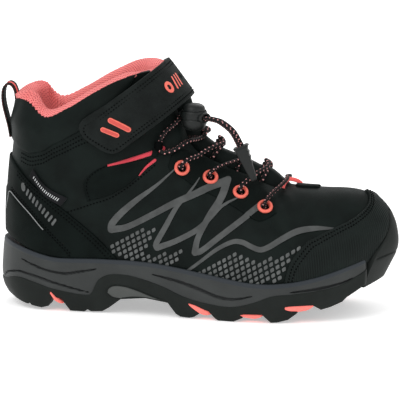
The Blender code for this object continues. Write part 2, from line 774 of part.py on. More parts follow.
def box(name, centre, along, size):
    """A box cutter whose X side lies along a level direction."""
    turn = Vector((1.0, 0.0, 0.0)).rotation_difference(along).to_matrix()
    corners = [(x, y, z) for x in (-1, 1) for y in (-1, 1) for z in (-1, 1)]
    vertices = [centre + turn @ Vector([sign * length / 2 for sign, length in zip(at, size)]) for at in corners]
    faces = ((0, 1, 3, 2), (4, 6, 7, 5), (0, 4, 5, 1), (2, 3, 7, 6), (0, 2, 6, 4), (1, 5, 7, 3))
    made = solid(name, vertices, faces, GREY)
    made.hide_render = True
    made.display_type = "WIRE"
    return made


def cut(piece, cutter):
    made = piece.modifiers.new("cut", "BOOLEAN")
    made.operation = "DIFFERENCE"
    made.object = cutter


def build_lock():
    slot = 2 * (LACE_RADIUS + 0.35)
    width = slot + 2 * CORD_SPREAD
    cup = ((0, -9.3), (6.6, -9.3), (LOCK_RADIUS, -8.0), (LOCK_RADIUS, 2.2), (7.2, 3.2), (5.2, 3.2),
           (5.2, -7.9), (0, -7.9))
    barrel = lathe("cord_lock_barrel", cup, LOCK_CENTRE, (0, 0, 1), DARK, segments=20, roughness=0.4)
    cut(barrel, box("barrel_cutter", LOCK_CENTRE, LOCK_ALONG, (24.0, width, slot)))
    stem = ((0, -4.4), (4.8, -4.4), (4.8, 5.6), (6.6, 5.6), (6.2, 7.2), (3.6, 8.2), (0, 8.4))
    plunger = lathe("cord_lock_plunger", stem, LOCK_CENTRE, (0, 0, 1), DARK, segments=20, roughness=0.4)
    room = LOCK_TRAVEL + 0.3
    cut(plunger, box("plunger_cutter", LOCK_CENTRE + Vector((0, 0, room / 2)), LOCK_ALONG, (24.0, width, slot + room)))
    turns, start, end = 3, -7.5, -4.8
    coil = []
    for k in range(turns * 10 + 1):
        angle = math.tau * k / 10
        height = start + 0.3 + (end - start - 0.6) * k / (turns * 10)
        coil.append(LOCK_CENTRE + Vector((3.4 * math.cos(angle), 3.4 * math.sin(angle), height)))
    cord("cord_lock_spring", coil, 0.28, SILVER, metallic=0.9, roughness=0.3)

    top, bottom = CLIP_TOP, CLIP_BOTTOM
    along = (bottom - top).normalized()
    profile = ((3.3, 0), (4.1, 0), (4.1, 1.0), (3.2, 10.0), (2.0, 21.0), (0, 22.5), (0, 4.0), (3.3, 4.0))
    lathe("cord_end_clip", profile, top, along, DARK, segments=14, roughness=0.45)


# ---------------------------------------------------------------- ankle strap

def strap_place(forward, across, up=0.0):
    return STRAP_ORIGIN + STRAP_FORWARD * forward + Vector((0.0, across, 0.0)) + STRAP_WIDTH_AXIS * up


def strap_front(angle, lift=0.0):
    """Centre and outward direction of the front bend at an angle from the toe direction."""
    forward, across = STRAP_FRONT * math.cos(angle), STRAP_LEG_Y * math.sin(angle)
    normal = STRAP_FORWARD * (math.cos(angle) / STRAP_FRONT) + Vector((0.0, math.sin(angle) / STRAP_LEG_Y, 0.0))
    normal.normalize()
    return strap_place(STRAP_LEG_END + forward, across) + normal * lift, normal


def strap_prism(name, outline, near, far, colour, origin=None, **finish):
    """A flat plate parallel to the strap's leg, from an outline in strap coordinates."""
    count = len(outline)
    vertices = [strap_place(a, near, b) for a, b in outline] + [strap_place(a, far, b) for a, b in outline]
    faces = [tuple(range(count)), tuple(reversed(range(count, 2 * count)))]
    faces += [(k, k + count, (k + 1) % count + count, (k + 1) % count) for k in range(count)]
    return solid(name, vertices, faces, colour, origin=origin, smooth=False, **finish)


def capsule(start, end, radius):
    run = Vector(end) - Vector(start)
    base = math.atan2(run.y, run.x)
    outline = []
    for centre, first in ((end, base - math.pi / 2), (start, base + math.pi / 2)):
        for k in range(5):
            angle = first + math.pi * k / 4
            outline.append((centre[0] + radius * math.cos(angle), centre[1] + radius * math.sin(angle)))
    return outline


def build_strap():
    leg = -STRAP_LEG_Y
    tab_hinge = strap_place(STRAP_LEG_END, leg)
    bridge_hinge = strap_place(STRAP_LEG_END, STRAP_LEG_Y)
    end = STRAP_LEG_END - STRAP_HINGE_GAP
    tab = [(end, STRAP_HIGH - 0.3), (-16.0, 16.2), (-19.5, 16.0), (-22.8, 13.8), (-24.6, 9.0), (-24.4, 5.0),
           (-19.5, -7.8), (-15.7, -12.1), (-10.0, -13.6), (end, STRAP_LOW)]
    strap_prism("strap_tab", tab, leg - STRAP_THICK / 2, leg + STRAP_THICK / 2, BLACK, origin=tab_hinge)
    hook = [(-18.0, 12.0), (-18.0, -6.0), (2.0, -10.0), (2.0, 12.0)]
    strap_prism("strap_hook_patch", hook, leg + 1.2, leg + 1.8, DARK, origin=tab_hinge)
    strap_prism("strap_loop_patch", hook, leg + 2.1, leg + 2.9, DARK)
    for label, start, stop, radius in (("upper", (-3.4, 5.8), (2.4, -5.4), 1.95), ("lower", (-10.9, 4.0), (-5.8, -4.0), 1.8)):
        strap_prism(f"strap_bar_{label}", capsule(start, stop, radius), leg - 2.2, leg - 1.2, CORAL, origin=tab_hinge,
                    roughness=0.5)

    gap_angle = STRAP_HINGE_GAP / STRAP_FRONT
    reach = math.pi / 2 - gap_angle
    bends = [strap_front(-reach + 2 * reach * k / 18) for k in range(19)]
    low, high = STRAP_WIDTH_AXIS * STRAP_LOW, STRAP_WIDTH_AXIS * (STRAP_HIGH - 0.5)
    ribbon("strap_bridge", [at for at, _ in bends], [normal for _, normal in bends], [low] * 19, [high] * 19,
           STRAP_THICK, BLACK, origin=bridge_hinge)
    badge = [strap_front(math.radians(degrees), 1.6) for degrees in (-40, -34, -28, -22, -16)]
    spans = [STRAP_WIDTH_AXIS * size for size in (1.0, 3.4, 4.4, 3.4, 1.0)]
    ribbon("strap_badge", [at for at, _ in badge], [normal for _, normal in badge], [-1 * span for span in spans], spans,
           0.8, CORAL, origin=bridge_hinge, roughness=0.5)
    anchor = [strap_place(a, STRAP_LEG_Y) for a in (-16.0, -6.0, 4.0, end)]
    side_normal = Vector((0.0, 1.0, 0.0))
    ribbon("strap_anchor", anchor, [side_normal] * 4, [low] * 4, [high] * 4, STRAP_THICK, BLACK)


# ---------------------------------------------------------------- small trim

def build_trim():
    loop = [Vector((x, 0.0, z)) for x, z in ((-121.6, 107.0), (-121.7, 120.0), (-123.4, 128.0), (-124.4, 133.5),
                                            (-122.0, 138.4), (-117.0, 139.4), (-111.5, 137.5), (-108.0, 137.2))]
    path = smooth_path(loop, 5.0)
    normals = []
    for i, _ in enumerate(path):
        along = path[min(i + 1, len(path) - 1)] - path[max(i - 1, 0)]
        normals.append(Vector((-along.z, 0.0, along.x)).normalized())
    half = Vector((0.0, 5.0, 0.0))
    count = len(path)
    ribbon("heel_pull_loop", path, normals, [-half] * count, [half] * count, 1.0, BLACK)
    label = [side(-100.3, 89.8), side(-78.2, 72.7), side(-82.4, 67.6), side(-101.5, 85.0)]
    panel("side_label", label, SECOND_OVERLAY, DARK, sides=(LATERAL,))


# ---------------------------------------------------------------- build

def centre_on_origin():
    """Put the origin on the ground under the middle of the boot's bounding box."""
    bpy.context.view_layer.update()
    corners = [item.matrix_world @ Vector(corner) for item in bpy.data.objects for corner in item.bound_box]
    low, high = [[pick(corner[axis] for corner in corners) for axis in range(3)] for pick in (min, max)]
    shift = Vector((-(low[0] + high[0]) / 2, -(low[1] + high[1]) / 2, -low[2]))
    for item in bpy.data.objects:
        item.location += shift


clear_scene()
build_sole()
build_upper()
build_eyelets()
build_lacing()
build_lock()
build_strap()
build_trim()
centre_on_origin()
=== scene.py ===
"""Looks of a junior hiking boot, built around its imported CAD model.

Millimetres inside this script, metres in Blender.  Toe along +X, outer (lateral) side along -Y, +Z up.
The soft upper is cut from one "last" surface: chart coordinate s runs from 0 at the heel seam to TOE at the
toe tip, and v from 0 at the sole line to 1 at the collar rim or the instep ridge.
"""
import json
import math

import bmesh
import bpy
import numpy as np
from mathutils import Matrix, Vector
from mathutils.geometry import delaunay_2d_cdt


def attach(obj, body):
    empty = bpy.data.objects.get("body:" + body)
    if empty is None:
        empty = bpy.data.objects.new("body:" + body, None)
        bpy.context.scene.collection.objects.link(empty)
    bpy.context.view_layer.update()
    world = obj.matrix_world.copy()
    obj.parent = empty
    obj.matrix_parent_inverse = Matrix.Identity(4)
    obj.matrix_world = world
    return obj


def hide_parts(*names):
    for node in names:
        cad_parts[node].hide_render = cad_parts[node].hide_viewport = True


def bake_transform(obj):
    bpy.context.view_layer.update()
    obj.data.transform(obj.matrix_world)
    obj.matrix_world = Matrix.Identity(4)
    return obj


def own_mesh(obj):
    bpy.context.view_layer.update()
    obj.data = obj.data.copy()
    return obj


MM = 0.001
TOE = 16
RIDGE = 8
LATERAL, MEDIAL = "lateral", "medial"
SIDES = (LATERAL, MEDIAL)
SEED = 7

# The last, one row per station from the heel to the toe, as in the CAD:
# sole line x, lateral y, medial y, z, bulge, rise | top line x, half width, y, z, crown
STATIONS = (
    (-121.8, 0.0, 0.0, 45.0, 1.0, 0.42, -116.5, 0.0, 0.0, 130.5, 0.0),
    (-115.0, -17.0, 17.0, 42.5, 1.0, 0.42, -112.0, 14.0, 0.0, 133.0, 0.0),
    (-104.0, -26.5, 26.0, 37.8, 1.5, 0.42, -104.0, 22.5, 0.0, 131.5, 0.0),
    (-91.0, -30.2, 29.6, 34.2, 1.5, 0.42, -93.0, 27.0, 0.0, 123.2, 0.0),
    (-75.0, -31.3, 30.5, 32.6, 1.0, 0.42, -78.0, 29.0, 0.0, 129.5, 0.0),
    (-57.0, -32.0, 30.5, 32.5, 0.5, 0.41, -61.0, 28.8, 0.0, 139.5, 0.0),
    (-41.0, -33.0, 30.8, 32.7, 0.5, 0.39, -44.0, 27.0, 0.0, 147.5, 0.2),
    (-28.0, -34.6, 31.6, 31.6, 0.5, 0.36, -29.0, 18.5, 0.0, 151.0, 0.3),
    (-15.0, -36.8, 33.0, 30.0, 0.5, 0.33, -19.0, 0.0, 0.0, 150.0, 0.40),
    (0.0, -39.8, 35.0, 27.8, 1.0, 0.30, -11.5, 0.0, 0.5, 131.0, 0.40),
    (17.0, -43.6, 38.2, 24.8, 1.5, 0.27, -4.0, 0.0, 1.0, 109.0, 0.40),
    (36.0, -46.3, 42.2, 22.4, 2.0, 0.27, 14.0, 0.0, 2.0, 96.8, 0.42),
    (56.0, -45.8, 45.0, 22.4, 3.0, 0.28, 34.0, 0.0, 3.0, 87.5, 0.45),
    (76.0, -40.2, 44.5, 25.6, 4.0, 0.32, 55.0, 0.0, 4.0, 79.6, 0.52),
    (95.0, -30.3, 40.0, 30.5, 5.5, 0.37, 76.0, 0.0, 5.0, 76.8, 0.65),
    (111.0, -15.0, 27.5, 36.0, 7.5, 0.41, 90.0, 0.0, 5.6, 76.0, 0.80),
    (120.8, 6.0, 6.0, 39.0, 8.0, 0.42, 95.0, 0.0, 6.0, 75.8, 0.90),
)
COLLAR_FLARE = 1.5
COLLAR_DROP = 0.35
TOE_FULLNESS = 2.1
# Stations over which the collar's shape turns into the instep's, and the toe's fullness sets in.
COLLAR_TO_INSTEP = (6.0, 8.2)
TOE_SPAN = (12.5, 15.0)
CHART_SCALE = np.array([18.0, 75.0])

# Layers, as distances from the last surface; negative is inside the boot.
SHELL = (-2.0, 0.0)
OVERLAY = (0.1, 1.5)
FILM = (0.2, 0.42)

# Strap: a band wrapped round the ankle in a plane that climbs towards the instep.
STRAP_ORIGIN = np.array([-44.0, 0.0, 121.0])
STRAP_FORWARD = np.array([0.791, 0.0, 0.612])
STRAP_UP = np.array([-0.612, 0.0, 0.791])
STRAP_LEG_Y = 34.5
STRAP_LEG_END = 14.5
STRAP_FRONT = 24.6
STRAP_LOW, STRAP_HIGH = -13.6, 15.0

EYELET_SPOTS = ((-6.8, 92.6), (10.3, 85.9), (29.8, 77.3), (46.0, 69.1))
LACE_RADIUS = 1.3

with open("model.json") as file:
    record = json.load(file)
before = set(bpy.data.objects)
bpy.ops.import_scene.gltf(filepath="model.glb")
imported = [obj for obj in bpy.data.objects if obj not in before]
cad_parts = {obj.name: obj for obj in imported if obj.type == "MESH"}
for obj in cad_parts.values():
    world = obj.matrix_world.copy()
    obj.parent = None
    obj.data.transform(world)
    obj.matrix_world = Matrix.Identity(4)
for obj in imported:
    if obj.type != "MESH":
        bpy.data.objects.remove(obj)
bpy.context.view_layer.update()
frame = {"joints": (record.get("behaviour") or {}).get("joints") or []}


def cad_shift():
    """How far the CAD moved its design coordinates to put the origin under the boot's middle."""
    hinge = next(joint for joint in frame["joints"] if joint["name"] == "strap_swing")
    design = STRAP_ORIGIN + STRAP_FORWARD * STRAP_LEG_END + np.array([0.0, STRAP_LEG_Y, 0.0])
    return np.array(hinge["pos_m"]) / MM - design


SHIFT = cad_shift()


# ---------------------------------------------------------------- the last surface

def ring_rows():
    """Stations in one closed ring: heel, lateral side, toe, medial side."""
    table = np.array(STATIONS)
    shared = table[:, [0, 1, 3, 4, 5, 6, 8, 9, 10]]
    outer, inner = shared.copy(), shared.copy()
    outer[:, 6] = table[:, 8] - table[:, 7]
    inner[:, 1] = table[:, 2]
    inner[:, 6] = table[:, 8] + table[:, 7]
    return np.concatenate([outer, inner[TOE - 1:0:-1]])


RING = ring_rows()


def unit(vectors):
    """Vectors scaled to length 1."""
    return vectors / np.maximum(np.linalg.norm(vectors, axis=-1, keepdims=True), 1e-9)


def ramp(value, low, high):
    """Smooth step from 0 at low to 1 at high."""
    t = np.clip((np.asarray(value, float) - low) / (high - low), 0.0, 1.0)
    return t * t * (3 - 2 * t)


def station(u):
    """Catmull-Rom interpolation of the station ring."""
    u = np.asarray(u, float)
    first = np.floor(u).astype(int)
    t = (u - first)[..., None]
    rows = RING[(first[..., None] + np.arange(-1, 3)) % len(RING)]
    weights = np.stack([
        -t + 2 * t ** 2 - t ** 3,
        2 - 5 * t ** 2 + 3 * t ** 3,
        t + 4 * t ** 2 - 3 * t ** 3,
        -t ** 2 + t ** 3,
    ], axis=-2)
    return (rows * weights).sum(axis=-2) / 2


def outward(u):
    """Plan direction square to the sole line, pointing away from the foot."""
    u = np.asarray(u, float)
    along = unit(station(u + 0.05)[..., :2] - station(u - 0.05)[..., :2])
    return np.stack([along[..., 1], -along[..., 0], np.zeros_like(along[..., 0])], axis=-1)


def ridge_slope(s):
    """Rise of the instep ridge per millimetre forwards."""
    s = np.clip(s, RIDGE + 0.2, TOE - 1.5)
    before, after = station(s - 0.2), station(s + 0.2)
    return (after[..., 7] - before[..., 7]) / (after[..., 5] - before[..., 5])


def surface(u, v):
    """Points of the last; below v = 0 the wall carries straight on, and above v = 1 so does the rim."""
    u, v = np.broadcast_arrays(np.asarray(u, float), np.asarray(v, float))
    columns = np.moveaxis(station(u), -1, 0)[..., None]
    x, y, z, bulge, rise, top_x, top_y, top_z, crown = columns
    s = np.minimum(u % len(RING), -u % len(RING))[..., None]
    v = v[..., None]
    up = np.array([0.0, 0.0, 1.0])
    base = np.concatenate([x, y, z], axis=-1)
    top = np.concatenate([top_x, top_y, top_z], axis=-1)
    height = top_z - z
    out = outward(u)
    low = base + out * bulge + up * rise * height
    rear = top + out * COLLAR_FLARE - up * COLLAR_DROP * height
    slope = ridge_slope(s)
    run = (x - top_x) * crown / np.hypot(1.0, slope)
    front = top + np.concatenate([run, (y - top_y) * crown, slope * run], axis=-1)
    high = rear + (front - rear) * ramp(s, *COLLAR_TO_INSTEP)
    fullness = up * TOE_FULLNESS * ramp(s, *TOE_SPAN)
    w = 1 - v
    inner = base * w ** 3 + low * (3 * v * w * w) + high * (3 * v * v * w) + top * v ** 3
    inner = inner + fullness * ramp(v, 0.45, 0.9)
    below = base + (low - base) * 3 * v
    above = top + unit(top - high) * (v - 1) * height
    return np.where(v < 0, below, np.where(v > 1, above, inner))


def ring_place(which, s):
    """Place on the station ring of station s on one side."""
    return s if which == LATERAL else len(RING) - s


def last_normal(which, s, v):
    """Unit normals pointing away from the foot; towards the ridge they turn into the mean of both sides."""
    level = np.minimum(v, 0.985)

    def one(side_name):
        u = ring_place(side_name, s)
        along = surface(u + 0.03, level) - surface(u - 0.03, level)
        up = surface(u, level + 0.01) - surface(u, level - 0.01)
        return unit(np.cross(along, up))

    here = one(which)
    both = unit(one(LATERAL) + one(MEDIAL))
    share = (ramp(v, 0.955, 0.999) * ramp(s, RIDGE - 0.3, RIDGE))[..., None]
    return unit(here + (both - here) * share)


def on_last(which, spots, offset=0.0):
    """Points at an offset off the last, for chart places (s, v)."""
    spots = np.asarray(spots, float)
    s, v = spots[..., 0], spots[..., 1]
    offset = np.asarray(offset, float)[..., None]
    return surface(ring_place(which, s), v) + last_normal(which, s, v) * offset


def grid_pairs(first, second):
    """Every pair of two lists of numbers, one pair a row."""
    return np.stack(np.meshgrid(first, second, indexing="ij"), -1).reshape(-1, 2)


TABLE_SPOTS = grid_pairs(np.arange(0.25, TOE, 0.25), np.linspace(0, 1, 26))
TABLE_POINTS = surface(TABLE_SPOTS[:, 0], TABLE_SPOTS[:, 1])[:, [0, 2]]


def side(points, which=LATERAL):
    """Chart places (s, v) of points given as x, z in side view, by Newton search."""
    points = np.atleast_2d(np.asarray(points, float))
    nearest = ((points[:, None] - TABLE_POINTS[None]) ** 2).sum(-1).argmin(1)
    spots = TABLE_SPOTS[nearest].copy()
    for _ in range(9):
        s, v = spots[:, 0], spots[:, 1]
        here = surface(ring_place(which, s), v)[:, [0, 2]]
        ds = (surface(ring_place(which, s + 0.02), v)[:, [0, 2]] - here) / 0.02
        dv = (surface(ring_place(which, s), v + 0.004)[:, [0, 2]] - here) / 0.004
        miss = points - here
        det = ds[:, 0] * dv[:, 1] - dv[:, 0] * ds[:, 1]
        det = np.where(np.abs(det) < 1e-6, np.inf, det)
        s = s + (miss[:, 0] * dv[:, 1] - dv[:, 0] * miss[:, 1]) / det
        v = v + (ds[:, 0] * miss[:, 1] - miss[:, 0] * ds[:, 1]) / det
        spots = np.stack([np.clip(s, 0.02, TOE - 0.02), np.clip(v, 0.0, 1.0)], -1)
    return spots


def at_height(s, z):
    """Chart place on station line s at height z."""
    levels = np.linspace(0, 1, 201)
    heights = surface(np.full(201, float(s)), levels)[:, 2]
    return np.array([[s, levels[np.abs(heights - z).argmin()]]])


def ridge(x):
    """Chart coordinate s on the instep ridge at x."""
    line = np.linspace(RIDGE, TOE, 801)
    return line[np.abs(station(line)[:, 5] - x).argmin()]


def station_at(x):
    """Chart coordinate s where the sole line reaches x."""
    line = np.linspace(0, TOE, 1601)
    return np.interp(x, station(line)[:, 0], line)


# ---------------------------------------------------------------- curves

def spline(points, step=1.2):
    """Catmull-Rom curve through points, sampled about every step."""
    points = np.asarray(points, float)
    if len(points) == 2:
        parts = max(1, round(float(np.linalg.norm(points[1] - points[0])) / step))
        return points[0] + (points[1] - points[0]) * np.linspace(0, 1, parts + 1)[:, None]
    padded = np.concatenate([[2 * points[0] - points[1]], points, [2 * points[-1] - points[-2]]])
    path = []
    for a, b, c, d in zip(padded, padded[1:], padded[2:], padded[3:]):
        parts = max(1, round(float(np.linalg.norm(c - b)) / step))
        t = (np.arange(parts) / parts)[:, None]
        path.append((b * 2 + (c - a) * t + (a * 2 - b * 5 + c * 4 - d) * t ** 2
                     + (b * 3 - a - c * 3 + d) * t ** 3) / 2)
    return np.concatenate(path + [points[-1:]])


def travel_along(path):
    """Distance travelled at each point of a path."""
    return np.concatenate([[0], np.cumsum(np.linalg.norm(np.diff(path, axis=0), axis=1))])


def at_travel(travel, path, reach):
    """Values of a path's columns where the distance travelled is reach."""
    return np.array([np.interp(reach, travel, column) for column in np.transpose(path)])


def circle(sides):
    """Points of the unit circle."""
    angles = np.arange(sides) / sides * math.tau
    return np.stack([np.cos(angles), np.sin(angles)], -1)


def chart_mm(spots):
    """Chart places in millimetres."""
    return np.atleast_2d(spots) * CHART_SCALE


def outline(*arcs, step=1.2):
    """Closed outline in chart millimetres: each arc is smooth, and arcs meet at corners."""
    path = np.concatenate([spline(chart_mm(arc), step) for arc in arcs])
    keep = np.linalg.norm(path - np.roll(path, 1, axis=0), axis=1) > 0.05
    return path[keep]


def straight_chart(*corners):
    """Closed outline with straight sides through chart corners."""
    return outline(*zip(corners, corners[1:] + corners[:1]))


def join(*parts):
    """Single places and rows of places as one row."""
    return np.concatenate([np.atleast_2d(part) for part in parts])


def inside(points, ring):
    """Even-odd test of many points against a closed outline."""
    a, b = ring, np.roll(ring, -1, axis=0)
    above = (a[None, :, 1] > points[:, None, 1]) != (b[None, :, 1] > points[:, None, 1])
    rise = np.where(b[:, 1] == a[:, 1], 1e-12, b[:, 1] - a[:, 1])
    cross = a[None, :, 0] + (points[:, None, 1] - a[None, :, 1]) * ((b - a)[None, :, 0] / rise[None])
    return ((points[:, None, 0] < cross) & above).sum(1) % 2 == 1


def segment_distance(points, a, b):
    """Distance from each point to the nearest of the segments a-b."""
    best = np.full(len(points), np.inf)
    run = b - a
    length = np.maximum((run ** 2).sum(-1), 1e-12)
    for start in range(0, len(points), 2000):
        part = points[start:start + 2000]
        t = np.clip(((part[:, None] - a[None]) * run[None]).sum(-1) / length, 0, 1)
        gap = part[:, None] - (a[None] + t[..., None] * run[None])
        best[start:start + 2000] = np.sqrt((gap ** 2).sum(-1).min(1))
    return best


# ---------------------------------------------------------------- mesh building

# Distance between a lattice's rows, as a share of its step, and the parts of a stroke's round end.
ROW_RISE = 0.866
CAP_PARTS = 6
# Place of the extra row of points on a sheet's rounded edge.
EDGE_SHARE = 0.35


def make(name, points, faces, material, body="boot", replaces=(), slot=None, uv=None, sharp=35.0, values=None):
    """One finished piece from millimetre points; uv is per point, values are named point attributes."""
    mesh = bpy.data.meshes.new(name)
    points = (np.asarray(points, float) + SHIFT) * MM
    mesh.from_pydata([tuple(point) for point in points], [], [tuple(int(i) for i in face) for face in faces])
    if uv is not None:
        layer = mesh.uv_layers.new(name="chart")
        corners = np.zeros(len(mesh.loops), np.int32)
        mesh.loops.foreach_get("vertex_index", corners)
        layer.data.foreach_set("uv", (np.asarray(uv, float)[corners] * MM).astype(np.float32).ravel())
    for key, data in (values or {}).items():
        attribute = mesh.attributes.new(key, "FLOAT", "POINT")
        attribute.data.foreach_set("value", np.asarray(data, np.float32))
    work = bmesh.new()
    work.from_mesh(mesh)
    bmesh.ops.remove_doubles(work, verts=work.verts, dist=2e-6)
    bmesh.ops.recalc_face_normals(work, faces=work.faces)
    work.to_mesh(mesh)
    work.free()
    mesh.shade_smooth()
    mesh.set_sharp_from_angle(angle=math.radians(sharp))
    mesh.materials.append(material)
    made = bpy.data.objects.new(name, mesh)
    bpy.context.scene.collection.objects.link(made)
    if replaces:
        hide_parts(*replaces)
    if body:
        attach(made, body)
    return made


def lattice(low, high, step):
    """Staggered lattice of points that covers a box."""
    rise = step * ROW_RISE
    rows = np.arange(math.floor(low[1] / rise), math.ceil(high[1] / rise) + 1)
    columns = np.arange(math.floor(low[0] / step) - 1, math.ceil(high[0] / step) + 1)
    pairs = grid_pairs(rows, columns)
    return np.column_stack([(pairs[:, 1] + 0.5 * (pairs[:, 0] % 2)) * step, pairs[:, 0] * rise])


def covered(spots, rings, holes):
    """Which spots lie in any of the rings and in none of the holes."""
    held = np.zeros(len(spots), bool)
    for ring in rings:
        held |= inside(spots, ring)
    for hole in holes:
        held &= ~inside(spots, hole)
    return held


def square_to(ring):
    """Unit directions square to a closed outline."""
    along = unit(np.roll(ring, -1, axis=0) - np.roll(ring, 1, axis=0))
    return np.stack([-along[:, 1], along[:, 0]], -1)


def triangulate(rings, holes, step, insets=()):
    """Delaunay triangles of the union of closed outlines, with rows of points at insets from their edges."""
    every = list(rings) + list(holes)
    a = np.concatenate(every)
    b = np.concatenate([np.roll(ring, -1, axis=0) for ring in every])
    edges = []
    for ring in every:
        start = len(edges)
        edges += [(start + i, start + (i + 1) % len(ring)) for i in range(len(ring))]
    spread = lattice(a.min(0), a.max(0), step)
    limit = max([0.5 * step] + [inset + 0.45 * step for inset in insets])
    extra = [spread[segment_distance(spread, a, b) > limit]]
    for inset in insets:
        for ring in every:
            for sign in (-1, 1):
                moved = ring + square_to(ring) * inset * sign
                extra.append(moved[segment_distance(moved, a, b) > 0.93 * inset])
    extra = np.concatenate(extra)
    points = np.concatenate([a, extra[covered(extra, rings, holes)]])
    found = delaunay_2d_cdt([Vector(point) for point in points], edges, [], 0, 1e-4)
    flat = np.array([tuple(point) for point in found[0]])
    triangles = np.array([tuple(face) for face in found[2] if len(face) == 3])
    return flat, triangles[covered(flat[triangles].mean(1), rings, holes)]


def rim_edges(triangles):
    """Directed edges used by one triangle only."""
    edges = np.concatenate([triangles[:, [0, 1]], triangles[:, [1, 2]], triangles[:, [2, 0]]])
    known = set(map(tuple, edges))
    return np.array([edge for edge in known if (edge[1], edge[0]) not in known])


def on_seam(spots):
    """Chart points shared by the lateral and the medial half."""
    s, v = spots[:, 0], spots[:, 1]
    return (s < 1e-4) | (s > TOE - 1e-4) | ((v > 0.99995) & (s > RIDGE - 1e-4))


def sheet(name, rings, layer, material, sides=SIDES, holes=(), edge=0.7, step=1.8, relief=None, place=on_last,
          scale=CHART_SCALE, slot="upper_fabric", **finish):
    """A closed sheet over a chart region.  Its rim is rounded over edge millimetres, or square when edge is 0.

    A sheet over both sides of the last is one piece, joined where they meet.
    relief(which, spots, distance, flat) adds height to the outer face.
    """
    flat, triangles = triangulate(rings, holes, step, (EDGE_SHARE * edge, edge) if edge else ())
    spots = flat / scale
    edges = rim_edges(triangles)
    if len(sides) == 2 and place is on_last:
        seam = on_seam(spots)
        edges = edges[~(seam[edges[:, 0]] & seam[edges[:, 1]])]
    rim = np.zeros(len(flat), bool)
    rim[edges.ravel()] = True
    distance = segment_distance(flat, flat[edges[:, 0]], flat[edges[:, 1]])
    rounding = np.ones(len(flat))
    if edge:
        triangles = triangles[~rim[triangles].all(1)]
        rounding = np.sqrt(1 - (1 - np.clip(distance / edge, 0, 1)) ** 2)
    points, faces = [], []
    for which in sides:
        high = layer[0] + (layer[1] - layer[0]) * rounding
        if relief:
            high = high + relief(which, spots, distance, flat) * rounding
        top = np.arange(len(flat)) + 2 * len(flat) * sides.index(which)
        low = top + len(flat)
        points += [place(which, spots, high), place(which, spots, np.full(len(flat), float(layer[0])))]
        way = 1 if which == LATERAL else -1
        if edge:
            low = np.where(rim, top, low)
        faces += list(top[triangles[:, ::way]]) + list(low[triangles[:, ::-way]])
        if not edge:
            a, b = edges.T[::way]
            faces += list(np.stack([top[b], top[a], low[a], low[b]], 1))
    points, faces, uv = used_only(np.concatenate(points), faces, np.tile(flat, (2 * len(sides), 1)))
    return make(name, points, faces, material, uv=uv, slot=slot, **finish)


def used_only(points, faces, uv):
    """Points, faces and uv without the points that no face uses."""
    used = np.unique(np.concatenate(faces))
    lookup = np.full(len(points), -1)
    lookup[used] = np.arange(len(used))
    return points[used], [lookup[face] for face in faces], uv[used]


def one_sided(name, rings, layer, material, replaces=None, holes=None, **options):
    """The same sheet on each side of the boot, as two pieces; holes(side) gives the holes of one side."""
    for which in SIDES:
        if replaces:
            options["replaces"] = (f"{replaces}_{which}",)
        sheet(f"{name}_{which}", rings, layer, material, sides=(which,), holes=holes(which) if holes else (),
              **options)


def stroke(points, widths, step=1.0):
    """Closed outline of a brush stroke along a smooth path, with round ends; widths are full widths."""
    path = spline(np.column_stack([points, widths]), step)
    centre, half = path[:, :2], path[:, 2:] / 2
    along = unit(np.gradient(centre, axis=0))
    across = np.stack([-along[:, 1], along[:, 0]], -1)
    caps = []
    for end, sign in ((-1, 1), (0, -1)):
        angles = np.linspace(math.pi / 2, -math.pi / 2, CAP_PARTS + 1)[1:-1, None] * sign
        turn = across[end] * np.sin(angles) + along[end] * np.cos(angles) * sign
        caps.append(centre[end] + turn * half[end])
    return np.concatenate([centre + across * half, caps[0], (centre - across * half)[::-1], caps[1]])


def side_stroke(points, widths, step=1.0):
    """Chart outline of a stroke drawn in side view."""
    return chart_mm(side(stroke(points, widths, step)))


def skin(sections, closed=False):
    """Quads between sections of equal length; the first and last are capped, or joined when closed."""
    count = sections.shape[1]
    rows = np.arange(len(sections) * count).reshape(-1, count)
    faces = []
    for a, b in zip(rows, np.roll(rows, -1, axis=0) if closed else rows[1:]):
        faces += list(np.stack([a, np.roll(a, -1), np.roll(b, -1), b], 1))
    return faces if closed else faces + [rows[0][::-1], rows[-1]]


def sweep(name, path, normals, section, material, **finish):
    """A closed section of (across, out) points carried along a path; normals give its out direction."""
    along = unit(np.gradient(path, axis=0))
    across = unit(np.cross(along, normals))
    out = unit(np.cross(across, along))
    points = path[:, None] + across[:, None] * section[:, :1] + out[:, None] * section[:, 1:]
    uv = grid_pairs(travel_along(path), travel_along(section))
    return make(name, points.reshape(-1, 3), skin(points), material, uv=uv, **finish)


def carried_normals(path):
    """Normals carried along a path without twist."""
    along = unit(np.gradient(path, axis=0))
    normal = unit(np.cross(along[0], [0.31, 0.72, 0.62]))
    normals = []
    for direction in along:
        normal = unit(normal - direction * (normal @ direction))
        normals.append(normal)
    return np.array(normals)


def rounded_section(width, thick, corner, parts=3):
    """A flat bar's section with round corners."""
    points = []
    for sign_a, sign_b, start in ((1, 1, 0), (-1, 1, 90), (-1, -1, 180), (1, -1, 270)):
        for k in range(parts + 1):
            angle = math.radians(start + 90 * k / parts)
            points.append((sign_a * (width / 2 - corner) + corner * math.cos(angle),
                           sign_b * (thick / 2 - corner) + corner * math.sin(angle)))
    return np.array(points)


